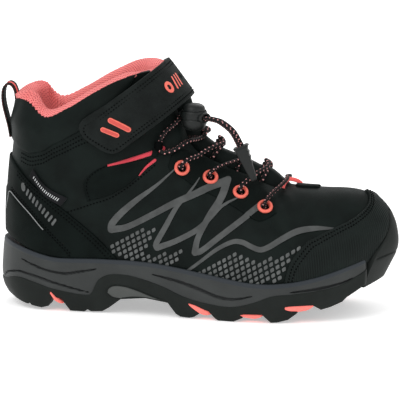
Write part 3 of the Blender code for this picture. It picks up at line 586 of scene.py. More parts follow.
def turned(name, profile, centre, axis, material, segments=48, **finish):
    """A turned shape from a closed (radius, height) profile about an axis through centre."""
    turn = np.array(Vector((0.0, 0.0, 1.0)).rotation_difference(Vector(axis)).to_matrix())
    profile = np.array(profile)
    ring = np.column_stack([circle(segments), np.zeros(segments)])
    points = ring[None] * profile[:, None, :1] + np.array([0, 0, 1.0]) * profile[:, None, 1:]
    points = points @ turn.T + centre
    uv = grid_pairs(profile[:, 1], np.arange(segments) / segments * math.tau * 5)
    faces = clean_faces(points.reshape(-1, 3), skin(points, closed=True))
    return make(name, points.reshape(-1, 3), faces, material, uv=uv, **finish)


def clean_faces(points, faces):
    """Faces with coincident corners merged, and faces without area dropped."""
    keys = [tuple(point) for point in np.round(points, 4)]
    first = {}
    for i, key in enumerate(keys):
        first.setdefault(key, i)
    cleaned = [list(dict.fromkeys(first[keys[i]] for i in face)) for face in faces]
    return [face for face in cleaned if len(face) > 2]


# One stitch as (place along it, thickness), as shares of its length and radius.
STITCH_PROFILE = ((-0.5, 0.15), (-0.42, 0.75), (-0.2, 1.0), (0.2, 1.0), (0.42, 0.75), (0.5, 0.15))
STITCH_SIDES = 6


def stitches(name, path, normals, pitch=2.2, length=1.15, radius=0.42, lift=0.02, **finish):
    """A row of sewn thread ends along a path that lies on a surface."""
    travel = travel_along(path)
    points, faces = [], []
    for reach in np.arange(pitch / 2, travel[-1], pitch):
        normal = unit(at_travel(travel, normals, reach))
        ahead, behind = min(reach + 0.4, travel[-1]), max(reach - 0.4, 0)
        along = unit(at_travel(travel, path, ahead) - at_travel(travel, path, behind))
        ring = circle(STITCH_SIDES) @ np.array([np.cross(along, normal), normal])
        centre = at_travel(travel, path, reach) + normal * lift
        rings = np.array([centre + along * place * length + ring * radius * size
                          for place, size in STITCH_PROFILE])
        start = len(points)
        points += list(rings.reshape(-1, 3))
        faces += [face + start for face in skin(rings)]
    return make(name, points, faces, THREAD, **finish)


def stitches_on_last(name, which, spots, height, **options):
    """Stitches along a smooth chart path, at a height above the last."""
    path = spline(chart_mm(spots), 1.0) / CHART_SCALE
    stitches(name, on_last(which, path, height), last_normal(which, path[:, 0], path[:, 1]), **options)


def stitch_rows(name, rows, height, **options):
    """Rows of stitches on both sides of the boot, numbered from one."""
    for which in SIDES:
        for number, row in enumerate(rows, start=1):
            stitches_on_last(f"{name}_{which}_{number}", which, row, height, **options)


def read_points(piece):
    """A piece's points, in metres."""
    points = np.zeros(len(piece.data.vertices) * 3)
    piece.data.vertices.foreach_get("co", points)
    return points.reshape(-1, 3)


def write_points(piece, points):
    """Move a piece's points to places in metres."""
    piece.data.vertices.foreach_set("co", points.ravel())
    piece.data.update()


CLOTH_FRAMES = 20
FILLING_MASS = 0.001
FILLING_PRESSURE = 4.0


def fill(piece, cap):
    """Cloth simulation of a padded piece: its filling's pressure swells it, and no point moves over cap mm."""
    cloth = piece.modifiers.new("filling", "CLOTH")
    cloth.settings.mass = FILLING_MASS
    cloth.settings.use_pressure = True
    cloth.settings.uniform_pressure_force = FILLING_PRESSURE
    cloth.settings.effector_weights.gravity = 0.0
    cloth.collision_settings.use_collision = False
    scene = bpy.context.scene
    for step in range(1, CLOTH_FRAMES + 1):
        scene.frame_set(step)
    before = read_points(piece)
    after = np.zeros(before.size)
    swollen = piece.evaluated_get(bpy.context.evaluated_depsgraph_get())
    swollen.to_mesh().vertices.foreach_get("co", after)
    swollen.to_mesh_clear()
    piece.modifiers.remove(cloth)
    scene.frame_set(1)
    move = after.reshape(-1, 3) - before
    reach = np.linalg.norm(move, axis=1)[:, None]
    write_points(piece, before + move * np.minimum(1.0, cap * MM / np.maximum(reach, 1e-9)))


# ---------------------------------------------------------------- materials

BLACK_CLOTH = (0.0045, 0.0075, 0.0066)
BLACK_TAPE = (0.0075, 0.0095, 0.009)
CORAL_MESH = (0.97, 0.27, 0.26)
CORAL_PLASTIC = (0.83, 0.16, 0.115)
CORAL_RUBBER = (0.92, 0.20, 0.17)
FOAM_GREY = (0.032, 0.035, 0.0345)
RUBBER_BLACK = (0.0085, 0.0105, 0.0095)
FILM_GREY = (0.070, 0.074, 0.073)
# The lace's strands, and the distance between its pairs of flecks.
STRANDS = 6
FLECK_PITCH = 3.1


class Paint:
    """Short-hand for building one procedural material."""

    def __init__(self, name, roughness=0.7, specular=0.5, metallic=0.0):
        self.material = bpy.data.materials.new(name)
        self.material.use_nodes = True
        self.tree = self.material.node_tree
        self.shader = self.tree.nodes["Principled BSDF"]
        self.set("Roughness", roughness)
        self.set("Specular IOR Level", specular)
        self.set("Metallic", metallic)

    def plug(self, socket, value):
        """Link an output to a socket, or set the socket's value."""
        if isinstance(value, bpy.types.NodeSocket):
            self.tree.links.new(value, socket)
        elif isinstance(value, (tuple, list)) and len(value) == 3 and socket.type == "RGBA":
            socket.default_value = (*value, 1.0)
        else:
            socket.default_value = value

    def set(self, name, value):
        """Set an input of the shader."""
        self.plug(self.shader.inputs[name], value)

    def node(self, kind, settings=None, **inputs):
        """A new shader node; inputs are named with underscores for spaces."""
        made = self.tree.nodes.new("ShaderNode" + kind)
        for key, value in (settings or {}).items():
            setattr(made, key, value)
        for key, value in inputs.items():
            self.plug(made.inputs[key.replace("_", " ")], value)
        return made

    def math(self, operation, a, b=0.0, c=0.0):
        """Result of one math node."""
        made = self.tree.nodes.new("ShaderNodeMath")
        made.operation = operation
        for socket, value in zip(made.inputs, (a, b, c)):
            self.plug(socket, value)
        return made.outputs[0]

    def times(self, a, b):
        return self.math("MULTIPLY", a, b)

    def mix(self, share, a, b):
        """Colour a where share is 0 and colour b where it is 1."""
        made = self.tree.nodes.new("ShaderNodeMix")
        made.data_type = "RGBA"
        self.plug(made.inputs[0], share)
        self.plug(made.inputs[6], a)
        self.plug(made.inputs[7], b)
        return made.outputs[2]

    def ramp(self, value, low, high, to_low=0.0, to_high=1.0):
        """Smooth step of a value."""
        return self.node("MapRange", {"interpolation_type": "SMOOTHSTEP"}, Value=value, From_Min=low,
                         From_Max=high, To_Min=to_low, To_Max=to_high).outputs[0]

    def millimetres(self, vector):
        return self.node("VectorMath", {"operation": "SCALE"}, Vector=vector, Scale=1 / MM).outputs[0]

    def chart(self):
        """The two chart coordinates of the piece, in millimetres."""
        uv = self.node("UVMap", {"uv_map": "chart"}).outputs[0]
        return self.node("SeparateXYZ", Vector=self.millimetres(uv)).outputs[:2]

    def place(self):
        """Object coordinates in millimetres."""
        return self.millimetres(self.node("TexCoord").outputs["Object"])

    def noise(self, scale, detail=3.0, roughness=0.55):
        """Noise in object space; scale is per millimetre."""
        made = self.node("TexNoise", Vector=self.place(), Scale=scale, Detail=detail, Roughness=roughness)
        return made.outputs["Fac"]

    def mottled(self, colour, scale, dark, bright, detail=3.0, span=(0.3, 0.7)):
        """The colour with slow changes of tone between two brightness factors."""
        share = self.ramp(self.noise(scale, detail), *span)
        return self.mix(share, dimmed(colour, dark), dimmed(colour, bright))

    def value(self, name):
        """A named point attribute of the mesh."""
        return self.node("Attribute", {"attribute_name": name}).outputs["Fac"]

    def wave(self, coordinate, period):
        """A sine between 0 and 1 along a millimetre coordinate."""
        turn = self.times(coordinate, math.tau / period)
        return self.math("MULTIPLY_ADD", self.math("SINE", turn), 0.5, 0.5)

    def weave(self, pitch, other_pitch=None):
        """Product of two waves along the chart's coordinates."""
        a, b = self.chart()
        return self.times(self.wave(a, pitch), self.wave(b, other_pitch or pitch))

    def crossed(self, a, b, period):
        """Product of two waves that run aslant to the coordinates."""
        one, other = (self.wave(self.math(way, a, b), period) for way in ("ADD", "SUBTRACT"))
        return self.times(one, other)

    def done(self, colour, height=None, depth=0.0):
        """The finished material, with bumps of a depth in millimetres where a height is given."""
        self.set("Base Color", colour)
        if height is not None:
            bump = self.node("Bump", Height=height, Strength=1.0, Distance=depth * MM)
            self.set("Normal", bump.outputs[0])
        return self.material


def dimmed(colour, factor):
    """A colour with its brightness changed."""
    return tuple(channel * factor for channel in colour)


def woven(name, colour, pitch=0.7, depth=0.06, roughness=0.6, sheen=0.012, specular=0.05, vary=0.35):
    """Close plain weave on chart coordinates, with slow changes of tone."""
    paint = Paint(name, roughness, specular)
    weave = paint.weave(pitch)
    tone = paint.mottled(colour, 0.06, 1 - vary, 1 + vary, detail=4.0)
    tone = paint.mix(paint.times(weave, 0.35), tone, dimmed(colour, 2.2))
    paint.set("Sheen Weight", sheen)
    paint.set("Sheen Roughness", 0.45)
    paint.set("Sheen Tint", (0.55, 0.72, 0.66))
    fuzz = paint.times(paint.noise(1.6, 2.0), 0.8)
    return paint.done(tone, paint.math("ADD", weave, fuzz), depth)


def ribbed(name, colour):
    """Fine standing ribs for the toe cap, with painted highlights on their crests and painted shade in the
    valleys between them.
    """
    paint = Paint(name, 0.55, 0.12)
    a, b = paint.chart()
    ribs = paint.wave(a, 1.25)
    # Painted highlight and shade: the wave that raises each rib makes its crest lighter and its valleys darker.
    tone = paint.mix(ribs, dimmed(colour, 0.55), dimmed(colour, 1.5))
    tone = paint.mix(paint.ramp(paint.noise(0.08), 0.35, 0.75), tone, dimmed(colour, 1.5))
    return paint.done(tone, paint.math("MULTIPLY_ADD", paint.wave(b, 0.8), 0.25, ribs), 0.22)


def spacer_mesh(name, colour, pitch=2.3):
    """Knitted padding mesh with staggered small holes, and painted shade inside the holes."""
    paint = Paint(name, 0.75, 0.15)
    a, b = paint.chart()
    holes = paint.ramp(paint.crossed(a, b, pitch), 0.3, 0.8)
    tone = paint.mottled(colour, 0.12, 0.9, 1.0)
    # Painted shade: the holes, which the bump sinks, are mixed towards a dark red.
    tone = paint.mix(paint.times(holes, 0.92), tone, (0.46, 0.03, 0.038))
    paint.set("Sheen Weight", 0.1)
    paint.set("Sheen Tint", (1.0, 0.7, 0.65))
    knit = paint.times(paint.noise(2.4, 2.0), 0.5)
    return paint.done(tone, paint.math("SUBTRACT", knit, holes), 0.3)


def foam(name, colour):
    """Moulded midsole foam: fine grain, a darker band along its lip, and painted shade in its grooves."""
    paint = Paint(name, 0.5, 0.22)
    grain = paint.noise(1.8)
    tone = paint.mottled(colour, 0.05, 0.85, 1.15)
    tone = paint.mix(paint.times(grain, 0.3), tone, dimmed(colour, 1.5))
    tone = paint.mix(paint.times(paint.value("lip"), 0.75), tone, (0.024, 0.030, 0.038))
    # Painted shade: near black where the groove mark is 1, inside the grooves that the midsole's sections sink.
    tone = paint.mix(paint.value("groove"), tone, (0.006, 0.007, 0.0075))
    return paint.done(tone, grain, 0.07)


def rubber(name, colour, roughness=0.55, depth=0.08, worn=0.5):
    """Matt rubber or board, with paler worn patches."""
    paint = Paint(name, roughness, 0.12)
    grain = paint.noise(1.3, 4.0)
    tone = paint.mottled(colour, 0.07, 1.0, 1 + worn, detail=4.0, span=(0.35, 0.75))
    tone = paint.mix(paint.times(grain, 0.35), tone, dimmed(colour, 1.8))
    return paint.done(tone, grain, depth)


def moulded(name, colour, roughness=0.4, metallic=0.0):
    """Satin moulded plastic or drawn wire."""
    paint = Paint(name, roughness, 0.3, metallic)
    grain = paint.noise(2.5, 2.0)
    paint.set("Roughness", paint.ramp(grain, 0.2, 0.8, roughness - 0.07, roughness + 0.1))
    return paint.done(paint.mottled(colour, 0.3, 0.93, 1.06, detail=2.0), grain, 0.03)


def film(name, colour):
    """Welded film on the fabric, slightly satin, with the weave showing through."""
    paint = Paint(name, 0.45, 0.15)
    return paint.done(paint.mottled(colour, 0.1, 0.8, 1.2), paint.weave(0.7), 0.04)


def braid(name, colour, fleck):
    """Round braided cord with pairs of pale flecks; u runs along the cord and v around it."""
    paint = Paint(name, 0.6, 0.15)
    along, around = paint.chart()
    turn = math.tau * LACE_RADIUS
    strands = paint.crossed(along, around, turn / STRANDS)
    shift = paint.times(around, FLECK_PITCH * 3 / (2 * turn))
    flecks = paint.ramp(paint.crossed(along, shift, FLECK_PITCH), 0.6, 0.76)
    return paint.done(paint.mix(flecks, colour, fleck), paint.math("ADD", strands, flecks), 0.18)


def felt(name, colour):
    """Brushed strap fabric."""
    paint = Paint(name, 0.75, 0.1)
    fibres = paint.noise(3.2, 4.0, 0.7)
    tone = paint.mottled(colour, 0.1, 0.75, 1.3)
    tone = paint.mix(paint.ramp(fibres, 0.5, 0.8), tone, dimmed(colour, 2.6))
    paint.set("Sheen Weight", 0.015)
    paint.set("Sheen Tint", (0.55, 0.7, 0.66))
    return paint.done(tone, fibres, 0.14)


def striped_tape(name, colour, stripe, low, high):
    """Woven tape with a coloured stripe between two places across it."""
    paint = Paint(name, 0.7, 0.12)
    cords = paint.weave(0.8, 0.6)
    middle = paint.math("COMPARE", paint.chart()[1], (low + high) / 2, (high - low) / 2)
    tone = paint.mix(middle, colour, stripe)
    tone = paint.mix(paint.times(cords, 0.3), tone, dimmed(colour, 3))
    return paint.done(tone, cords, 0.1)


CLOTH_SMOOTH = woven("stretch_black", dimmed(BLACK_CLOTH, 0.9), pitch=0.55, depth=0.04, roughness=0.5,
                     sheen=0.015, specular=0.08)
CLOTH_DARK = woven("synthetic_black", dimmed(BLACK_CLOTH, 0.72), pitch=0.8, depth=0.05, sheen=0.008)
RIBS = ribbed("toe_ribs", dimmed(BLACK_CLOTH, 0.95))
MESH = spacer_mesh("coral_spacer_mesh", CORAL_MESH)
FOAM = foam("midsole_foam_grey", FOAM_GREY)
TREAD = rubber("tread_rubber", RUBBER_BLACK)
CORAL_TREAD = rubber("coral_rubber", CORAL_RUBBER, 0.5, 0.05, 0.05)
CORAL_GLOSS = moulded("coral_plastic", CORAL_PLASTIC, 0.38)
CORAL_FILL = moulded("coral_fill", (0.58, 0.075, 0.062), 0.45)
LOCK = moulded("lock_plastic", (0.006, 0.008, 0.0075), 0.42)
STEEL = moulded("spring_steel", (0.55, 0.56, 0.57), 0.3, 0.9)
FILM_PAINT = film("grey_film", FILM_GREY)
DOTS_PAINT = film("grey_print", dimmed(FILM_GREY, 1.35))
CORD = braid("lace_braid", (0.006, 0.0065, 0.0065), (0.74, 0.36, 0.35))
FELT = felt("strap_felt", BLACK_TAPE)
THREAD = woven("black_thread", (0.0015, 0.002, 0.002), pitch=0.3, depth=0.02, sheen=0.0, specular=0.03)
BOARD = rubber("fibre_board", (0.42, 0.34, 0.24), 0.85, 0.15, 0.3)
STIFF = moulded("stiffener", (0.35, 0.36, 0.36), 0.6)
WINDOW = rubber("window_rubber", (0.066, 0.070, 0.067), 0.5, 0.05, 0.15)
CORAL_TAPE = woven("coral_tape", (0.85, 0.13, 0.12), pitch=0.8, depth=0.1, sheen=0.2, vary=0.15)
PULL_TAPE = striped_tape("pull_tape", BLACK_TAPE, (0.85, 0.12, 0.11), 3.4, 6.6)
FOOTBED = felt("footbed_felt", (0.55, 0.12, 0.11))
LABEL = woven("label_weave", (0.008, 0.008, 0.009), pitch=0.4, depth=0.05, roughness=0.5, sheen=0.1)
PALE = woven("label_thread", (0.42, 0.43, 0.43), pitch=0.4, depth=0.05, roughness=0.5, sheen=0.1)
PIPING = moulded("silver_piping", (0.24, 0.25, 0.25), 0.45)
GUSSET = woven("gusset_coral", (0.52, 0.05, 0.07), pitch=0.9, depth=0.1, sheen=0.2, vary=0.15)


# ---------------------------------------------------------------- upper

THROAT = ((12.55, 0.855), (12.0, 0.842), (11.4, 0.835), (10.6, 0.83), (9.8, 0.82), (9.0, 0.79), (8.2, 0.78),
          (7.7, 0.86))
EYELET_CLEARANCE = 3.3


def eyelet_holes(which):
    """Chart outlines of the openings that keep a panel clear of the eyelets."""
    holes = []
    for spot in side(EYELET_SPOTS):
        centre = on_last(which, spot)
        along = np.linalg.norm(on_last(which, spot + [0.05, 0]) - centre) / 0.05
        up = np.linalg.norm(on_last(which, spot + [0, 0.01]) - centre) / 0.01
        holes.append((spot + circle(20) * EYELET_CLEARANCE / [along, up]) * CHART_SCALE)
    return holes


def crease(which, spots, distance, flat):
    """Slight pull and creasing of the shell over the ball of the foot and the ankle."""
    s, v = spots[:, 0], spots[:, 1]
    ball = np.exp(-((s - 12.3) / 0.7) ** 2) * ramp(v, 0.15, 0.5)
    ankle = np.exp(-((s - 5.0) / 1.6) ** 2) * np.exp(-((v - 0.62) / 0.12) ** 2)
    folds = np.sin(flat[:, 0] * 0.55 + flat[:, 1] * 0.22) * ball * 0.25
    return folds + np.sin(flat[:, 1] * 0.5 - flat[:, 0] * 0.13) * ankle * 0.3


def build_shell():
    """The quarters, which wrap the heel and both sides, and the vamp under the toe."""
    quarter = outline([(0.0, 0.0), (11.5, 0.0)], [(11.5, 0.0), (12.52, 0.82)], [(12.52, 0.82), *THROAT],
                      [(7.7, 0.86), (7.3, 0.95), (7.1, 1.015)],
                      [(7.1, 1.015), (5.5, 1.012), (3.0, 1.0), (0.0, 0.985)], [(0.0, 0.985), (0.0, 0.0)])
    one_sided("quarter_shell", [quarter], SHELL, CLOTH_SMOOTH, "quarter", eyelet_holes, edge=0.25, step=2.2,
              relief=crease)
    vamp = outline([(11.2, 0.0), (TOE, 0.0)], [(TOE, 0.0), (TOE, 1.0)], [(TOE, 1.0), (12.75, 1.0)],
                   [(12.75, 1.0), (12.62, 0.87), (12.3, 0.8)], [(12.3, 0.8), (11.2, 0.0)])
    sheet("vamp_shell", [vamp], (-2.2, -0.06), CLOTH_SMOOTH, edge=0.3, step=2.0, relief=crease,
          replaces=("vamp",))


TOE_SEAM = ((61.9, 25.1), (65.2, 37.1), (73.6, 49.0), (79.6, 52.5), (91.1, 58.2), (99.8, 62.2))
CAP_TOP = 76.4
# Upper edge of the bumper as (station, height).
BUMPER_TOP = ((15.02, 39.5), (15.26, 45.5), (15.5, 51.5), (15.7, 58.0), (15.84, 62.6), (TOE, 64.4))
FINE_STITCH = {"pitch": 2.0, "length": 1.05, "radius": 0.45}


def toe_seam():
    """Seam between the toe cap and the vamp."""
    return join(side(TOE_SEAM), at_height(15.15, 68.6), at_height(15.6, 73.6), at_height(TOE, CAP_TOP))


def bumper_edge():
    """Upper edge of the rubber bumper, from the sole up to the middle of the toe."""
    return join((14.88, -0.34), (14.9, -0.1), *(at_height(s, z) for s, z in BUMPER_TOP))


def build_toe():
    """The ribbed toe cap with its two rows of stitches, and the rubber bumper."""
    seam = toe_seam()
    edge = bumper_edge()
    cap_end = join(edge[2:])[::-1]
    cap = outline(seam, [seam[-1], cap_end[0]], cap_end, [cap_end[-1], (14.9, 0.0)], [(14.9, 0.0), seam[0]])
    sheet("toe_cap_cover", [cap], OVERLAY, RIBS, edge=0.8, step=2.0, replaces=("toe_cap",))
    first = seam + np.column_stack([np.linspace(0.10, 0.0, len(seam)), np.full(len(seam), -0.028)])
    second = first + np.column_stack([np.linspace(0.09, 0.0, len(seam)), np.full(len(seam), -0.03)])
    stitch_rows("toe_cap_stitches", (first, second), OVERLAY[1], **FINE_STITCH)
    bumper = outline(edge, [edge[-1], (TOE, -0.33)], [(TOE, -0.33), edge[0]])
    sheet("toe_bumper_cover", [bumper], (-0.3, 1.3), TREAD, edge=1.0, step=1.3, relief=bumper_relief,
          replaces=("toe_bumper",), slot="outsole_rubber")


def bumper_relief(which, spots, distance, flat):
    """Thicker towards the sole, with one cut line across it."""
    line = np.abs(flat[:, 1] - 2.0)
    foot = 2.2 * (1 - ramp(spots[:, 1], -0.05, 0.32))
    return foot - 0.9 * (1 - ramp(line, 0.3, 1.0)) * ramp(distance, 1.0, 4.0)


HEEL_BAND_TOP = ((-111.6, 88.2), (-103.2, 80.8), (-93.3, 73.7), (-82.5, 65.7), (-61.3, 49.4), (-52.9, 41.5),
                 (-45.8, 34.1))
CHEVRON = ((-116.2, 72.1), (-104.0, 62.5), (-93.6, 51.4), (-85.1, 42.6), (-76.1, 33.1))
COVER_SEAM = ((-115.7, 102.8), (-110.3, 100.2), (-103.5, 98.7), (-97.0, 100.0), (-89.4, 104.2),
              (-80.9, 108.9), (-71.3, 114.5), (-61.0, 119.0), (-50.0, 123.6))
# Top edge of the collar cover: rise above the rim by station.
COVER_RISE = ((0.0, -1.8), (1.0, -1.4), (2.0, -0.2), (3.0, -0.2), (4.0, 0.8), (5.0, 1.5), (5.8, 1.8),
              (6.5, 1.6))


def build_heel():
    """The heel band, moulded along its chevron."""
    seam = side(HEEL_BAND_TOP)
    top = join(at_height(0.0, 94.5), seam)
    band = outline(top, [top[-1], (0.0, 0.0)], [(0.0, 0.0), top[0]])
    chevron = side(CHEVRON)

    def moulding(which, spots, distance, flat):
        line = spline(chart_mm(chevron), 1.0)
        gap = segment_distance(flat, line[:-1], line[1:])
        below = flat[:, 1] < np.interp(flat[:, 0], line[:, 0], line[:, 1])
        return 0.55 * np.where(below, ramp(gap, 0.0, 1.4), 0.0) - 0.3 * np.exp(-(gap / 0.5) ** 2)

    sheet("heel_band_cover", [band], OVERLAY, CLOTH_DARK, edge=0.8, step=1.9, relief=moulding,
          replaces=("heel_band",))
    stitch_rows("heel_band_stitches", [seam - [0.0, drop] for drop in (0.022, 0.05)], OVERLAY[1])
    stitch_rows("chevron_stitches", [chevron + [0.0, rise] for rise in (0.012, 0.03)], OVERLAY[1])


def build_collar_cover():
    """The padded panel under the coral roll, with three rows of stitches along its seam."""
    seam = side(COVER_SEAM)
    low = join(at_height(0.0, 104.5), seam)
    top = [(s, 1 + rise / rim_height(s)) for s, rise in COVER_RISE[::-1]]
    cover = outline(low, [low[-1], top[0]], top, [top[-1], low[0]])
    panel = sheet("collar_cover_panel", [cover], (0.1, 1.3), CLOTH_SMOOTH, edge=1.0, step=2.0,
                  relief=puffed_cover, replaces=("collar_cover",))
    fill(panel, 0.8)
    stitch_rows("cover_stitches", [seam[1:] - [0.0, drop] for drop in (0.03, 0.06, 0.09)], 0.0, **FINE_STITCH)


def puffed_cover(which, spots, distance, flat):
    """The padded collar cover swells away from its seams."""
    return 2.0 * ramp(distance, 0.0, 14.0)


def rim_height(s):
    """Height of the rim above the sole line at station s."""
    row = station(s)
    return row[..., 7] - row[..., 2]


ANKLE_PANEL = ((-66.0, 70.2), (-68.4, 79.1), (-66.9, 84.8), (-61.2, 89.9), (-53.8, 93.8))
QUARTER_TOP = ((-79.3, 64.8), (-64.5, 70.3), (-50.5, 75.7), (-35.4, 86.5), (-23.0, 97.7))
EYESTAY = ((-13.5, 100.5), (-14.5, 92.0), (-3.0, 84.5), (6.0, 79.0), (26.0, 70.0), (44.0, 61.5), (54.0, 66.0))


def build_side_panels():
    """The ankle panels and the eyestays, with the stitches beside them."""
    back = side(ANKLE_PANEL)
    top = side([(-53.8, 93.8), (-38.8, 96.5), (-26.6, 98.6)])
    low = side([(-26.6, 98.0), (-35.4, 86.0), (-50.5, 75.5), (-66.0, 70.2)])
    one_sided("ankle_panel_cover", [outline(back, top, low)], (0.1, 1.1), CLOTH_DARK, "ankle_panel", step=2.0,
              relief=ankle_relief)
    stay = side(EYESTAY)
    ring = outline(stay, [stay[-1], (12.0, 0.835), (11.0, 0.83), (10.2, 0.82)], [(10.2, 0.82), stay[0]])
    one_sided("eyestay_cover", [ring], (0.1, 1.0), CLOTH_DARK, "eyestay", eyelet_holes, step=1.6)
    for which in SIDES:
        stitches_on_last(f"quarter_stitches_{which}", which, side(QUARTER_TOP) - [0, 0.02], 0.1)
        stitches_on_last(f"ankle_stitches_{which}", which, back + [0.12, 0.0], 1.1)


def ankle_relief(which, spots, distance, flat):
    """The ankle panel swells away from its edge."""
    return 0.8 * ramp(distance, 1.0, 7.0)


# ---------------------------------------------------------------- printed film and dots

# Film strokes as ((x, z, width), ...) in side view.
FILM_STROKES = (
    ((-10.9, 92.1, 0.7), (-22.0, 82.0, 2.0), (-34.0, 72.8, 3.4), (-44.0, 64.0, 4.2), (-49.8, 57.0, 4.4),
     (-50.3, 53.3, 4.6)),
    ((-50.3, 53.3, 4.6), (-40.0, 55.5, 3.8), (-24.0, 63.8, 3.8), (-10.0, 71.6, 4.0), (2.6, 77.2, 4.2),
     (13.0, 81.2, 4.2), (20.6, 83.6, 4.6)),
    ((20.6, 83.6, 4.6), (18.6, 74.6, 4.6), (12.2, 64.0, 4.0), (6.2, 51.0, 3.6), (4.6, 42.0, 4.4)),
    ((3.5, 85.6, 0.7), (-2.0, 77.0, 1.8), (-8.6, 69.0, 2.8), (-14.8, 57.5, 3.4), (-21.0, 46.0, 3.6),
     (-20.5, 43.2, 3.8)),
    ((-20.5, 43.2, 3.8), (-8.0, 48.4, 3.4), (6.0, 56.4, 3.4), (14.0, 64.6, 3.2), (20.0, 70.2, 1.8),
     (28.4, 74.1, 0.8)),
    ((42.3, 69.6, 3.6), (32.1, 61.6, 3.6), (20.3, 52.4, 3.6), (9.0, 43.4, 3.6), (4.6, 42.0, 4.0)),
    ((-1.7, 28.8, 1.8), (8.2, 36.5, 2.0), (18.7, 44.6, 2.4), (28.2, 49.4, 2.8), (34.6, 49.4, 3.0),
     (40.5, 47.0, 3.0), (46.4, 45.3, 3.2), (52.0, 47.2, 3.4), (60.0, 52.0, 3.6), (68.5, 56.0, 3.6),
     (79.0, 57.6, 2.8), (90.0, 57.6, 0.9)),
)
DOT_PATCHES = (
    ((-53.5, 41.5), (-30.3, 54.3), (-21.5, 56.0), (-28.9, 41.5), (-23.0, 37.0), (-10.5, 41.7), (-2.0, 45.5),
     (-10.4, 31.8), (-22.9, 32.8), (-43.5, 34.6)),
    ((6.6, 28.6), (27.4, 43.7), (32.7, 42.6), (42.6, 38.2), (62.0, 43.4), (72.0, 48.0), (64.9, 39.0),
     (60.9, 26.6), (41.8, 23.8), (24.9, 25.7), (12.7, 27.9)),
)
DOT_PITCH = (3.75, 3.3)
DOT_SIZE = (2.75, 2.35)
DOT_SLANT = np.array([[math.cos(math.radians(30)), math.sin(math.radians(30))], [-0.25, 1.0]])
DOT_CORNERS = 12
# One dot as (size, height), from its foot to its flat top.
DOT_RINGS = ((1.0, 0.05), (0.92, 0.35), (0.7, 0.45))
DOT_CROWN = 0.48


def build_film():
    """The printed zigzag lines on both sides."""
    strokes = [side_stroke([spot[:2] for spot in line], [spot[2] for spot in line]) for line in FILM_STROKES]
    one_sided("film_lines", strokes, FILM, FILM_PAINT, edge=0, step=1.7, place=over_panels)


def over_panels(which, spots, offset):
    """Places on the last, lifted where the eyestay panel lies on the shell."""
    stay = chart_mm(side(EYESTAY))[1:]
    flat = spots * CHART_SCALE
    edge = np.interp(flat[:, 0], stay[:, 0], stay[:, 1])
    step = 0.95 * ramp(flat[:, 1] - edge, -0.7, 0.7) * ramp(spots[:, 0], 7.9, 8.3)
    return on_last(which, spots, offset + step)


def dot_centres(corners):
    """Slanted lattice of places inside a patch."""
    rows = np.arange(-40, 40)
    places = (grid_pairs(rows, rows) * DOT_PITCH) @ DOT_SLANT + (corners.min(0) + corners.max(0)) / 2
    return places[inside(places, corners)]


def dot_faces(start):
    """Faces of one dot whose points begin at start: two bands, a fan on top and the underside."""
    rings = start + np.arange(3 * DOT_CORNERS).reshape(3, DOT_CORNERS)
    faces = []
    for low, high in zip(rings, rings[1:]):
        faces += list(np.stack([low, np.roll(low, -1), np.roll(high, -1), high], 1))
    top = rings[-1]
    faces += [(a, b, start + 3 * DOT_CORNERS) for a, b in zip(top, np.roll(top, -1))]
    return faces + [rings[0][::-1]]


def build_dots(which):
    """Rows of small rounded pads inside each patch outline."""
    round_shape = circle(DOT_CORNERS)
    shape = np.sign(round_shape) * np.abs(round_shape) ** 0.6 * DOT_SIZE / 2 @ DOT_SLANT
    height = np.concatenate([np.full(DOT_CORNERS, lift) for _, lift in DOT_RINGS] + [[DOT_CROWN]])
    for number, patch in enumerate(DOT_PATCHES, start=1):
        points, faces, uv = [], [], []
        for centre in dot_centres(np.array(patch)):
            faces += dot_faces(len(points))
            spots = side(np.concatenate([centre + shape * size for size, _ in DOT_RINGS] + [[centre]]))
            points += list(on_last(which, spots, height))
            uv += list(spots * CHART_SCALE)
        make(f"dot_print_{which}_{number}", points, faces, DOTS_PAINT, uv=uv, slot="upper_fabric")


# ---------------------------------------------------------------- sole

# Side-view lines of the sole, as (x, z).
TREAD_LINE = (
    (-122.0, 6.2), (-117.5, 5.6), (-111.2, 4.2), (-105.1, 2.9), (-103.6, 3.0), (-102.7, 3.9), (-101.2, 2.3),
    (-95.1, 1.4), (-90.5, 2.8), (-87.8, 8.0), (-82.2, 8.2), (-76.6, 0.4), (-67.4, 0.2), (-65.4, 1.7),
    (-63.4, 0.5), (-56.0, 0.9), (-51.6, 3.5), (-43.8, 9.4), (-27.4, 11.0), (-12.4, 9.0), (-7.4, 2.2),
    (-4.6, 0.6), (1.2, 0.3), (4.6, 1.2), (7.6, 3.2), (8.6, 5.8), (14.4, 6.0), (18.4, 1.4), (20.4, 0.0),
    (30.4, 0.0), (36.2, 2.6), (37.0, 5.2), (48.8, 5.4), (54.1, 0.2), (58.0, 0.4), (64.6, 2.1), (69.4, 5.8),
    (70.2, 8.6), (79.6, 10.8), (84.2, 7.8), (89.6, 9.2), (96.3, 12.0), (97.8, 14.2), (103.0, 17.9),
    (107.0, 21.0), (108.6, 22.4), (110.3, 19.8), (115.3, 23.7), (121.0, 29.6),
)
RECESS_LINE = ((-122.0, 9.5), (-100.0, 8.2), (-60.0, 8.2), (-44.0, 9.8), (-27.0, 11.4), (-12.0, 9.4),
               (5.0, 6.6), (50.0, 5.8), (66.0, 7.8), (80.0, 11.2), (97.0, 17.0), (108.0, 22.6), (121.0, 31.0))
BORDER_LINE = ((-122.0, 16.0), (-118.7, 16.4), (-112.0, 19.2), (-105.9, 19.4), (-96.0, 16.8), (-88.7, 14.6),
               (-76.0, 12.2), (-66.0, 11.2), (-62.6, 12.6), (-60.2, 17.5), (-57.4, 21.8), (-50.6, 25.0),
               (-39.2, 25.1), (-26.5, 22.6), (-13.9, 18.7), (-3.0, 14.4), (8.7, 11.5), (27.9, 9.5),
               (42.2, 12.5), (54.9, 17.4), (65.9, 18.5), (81.4, 20.4), (94.7, 23.4), (104.0, 28.6),
               (110.8, 33.2), (121.0, 38.5))
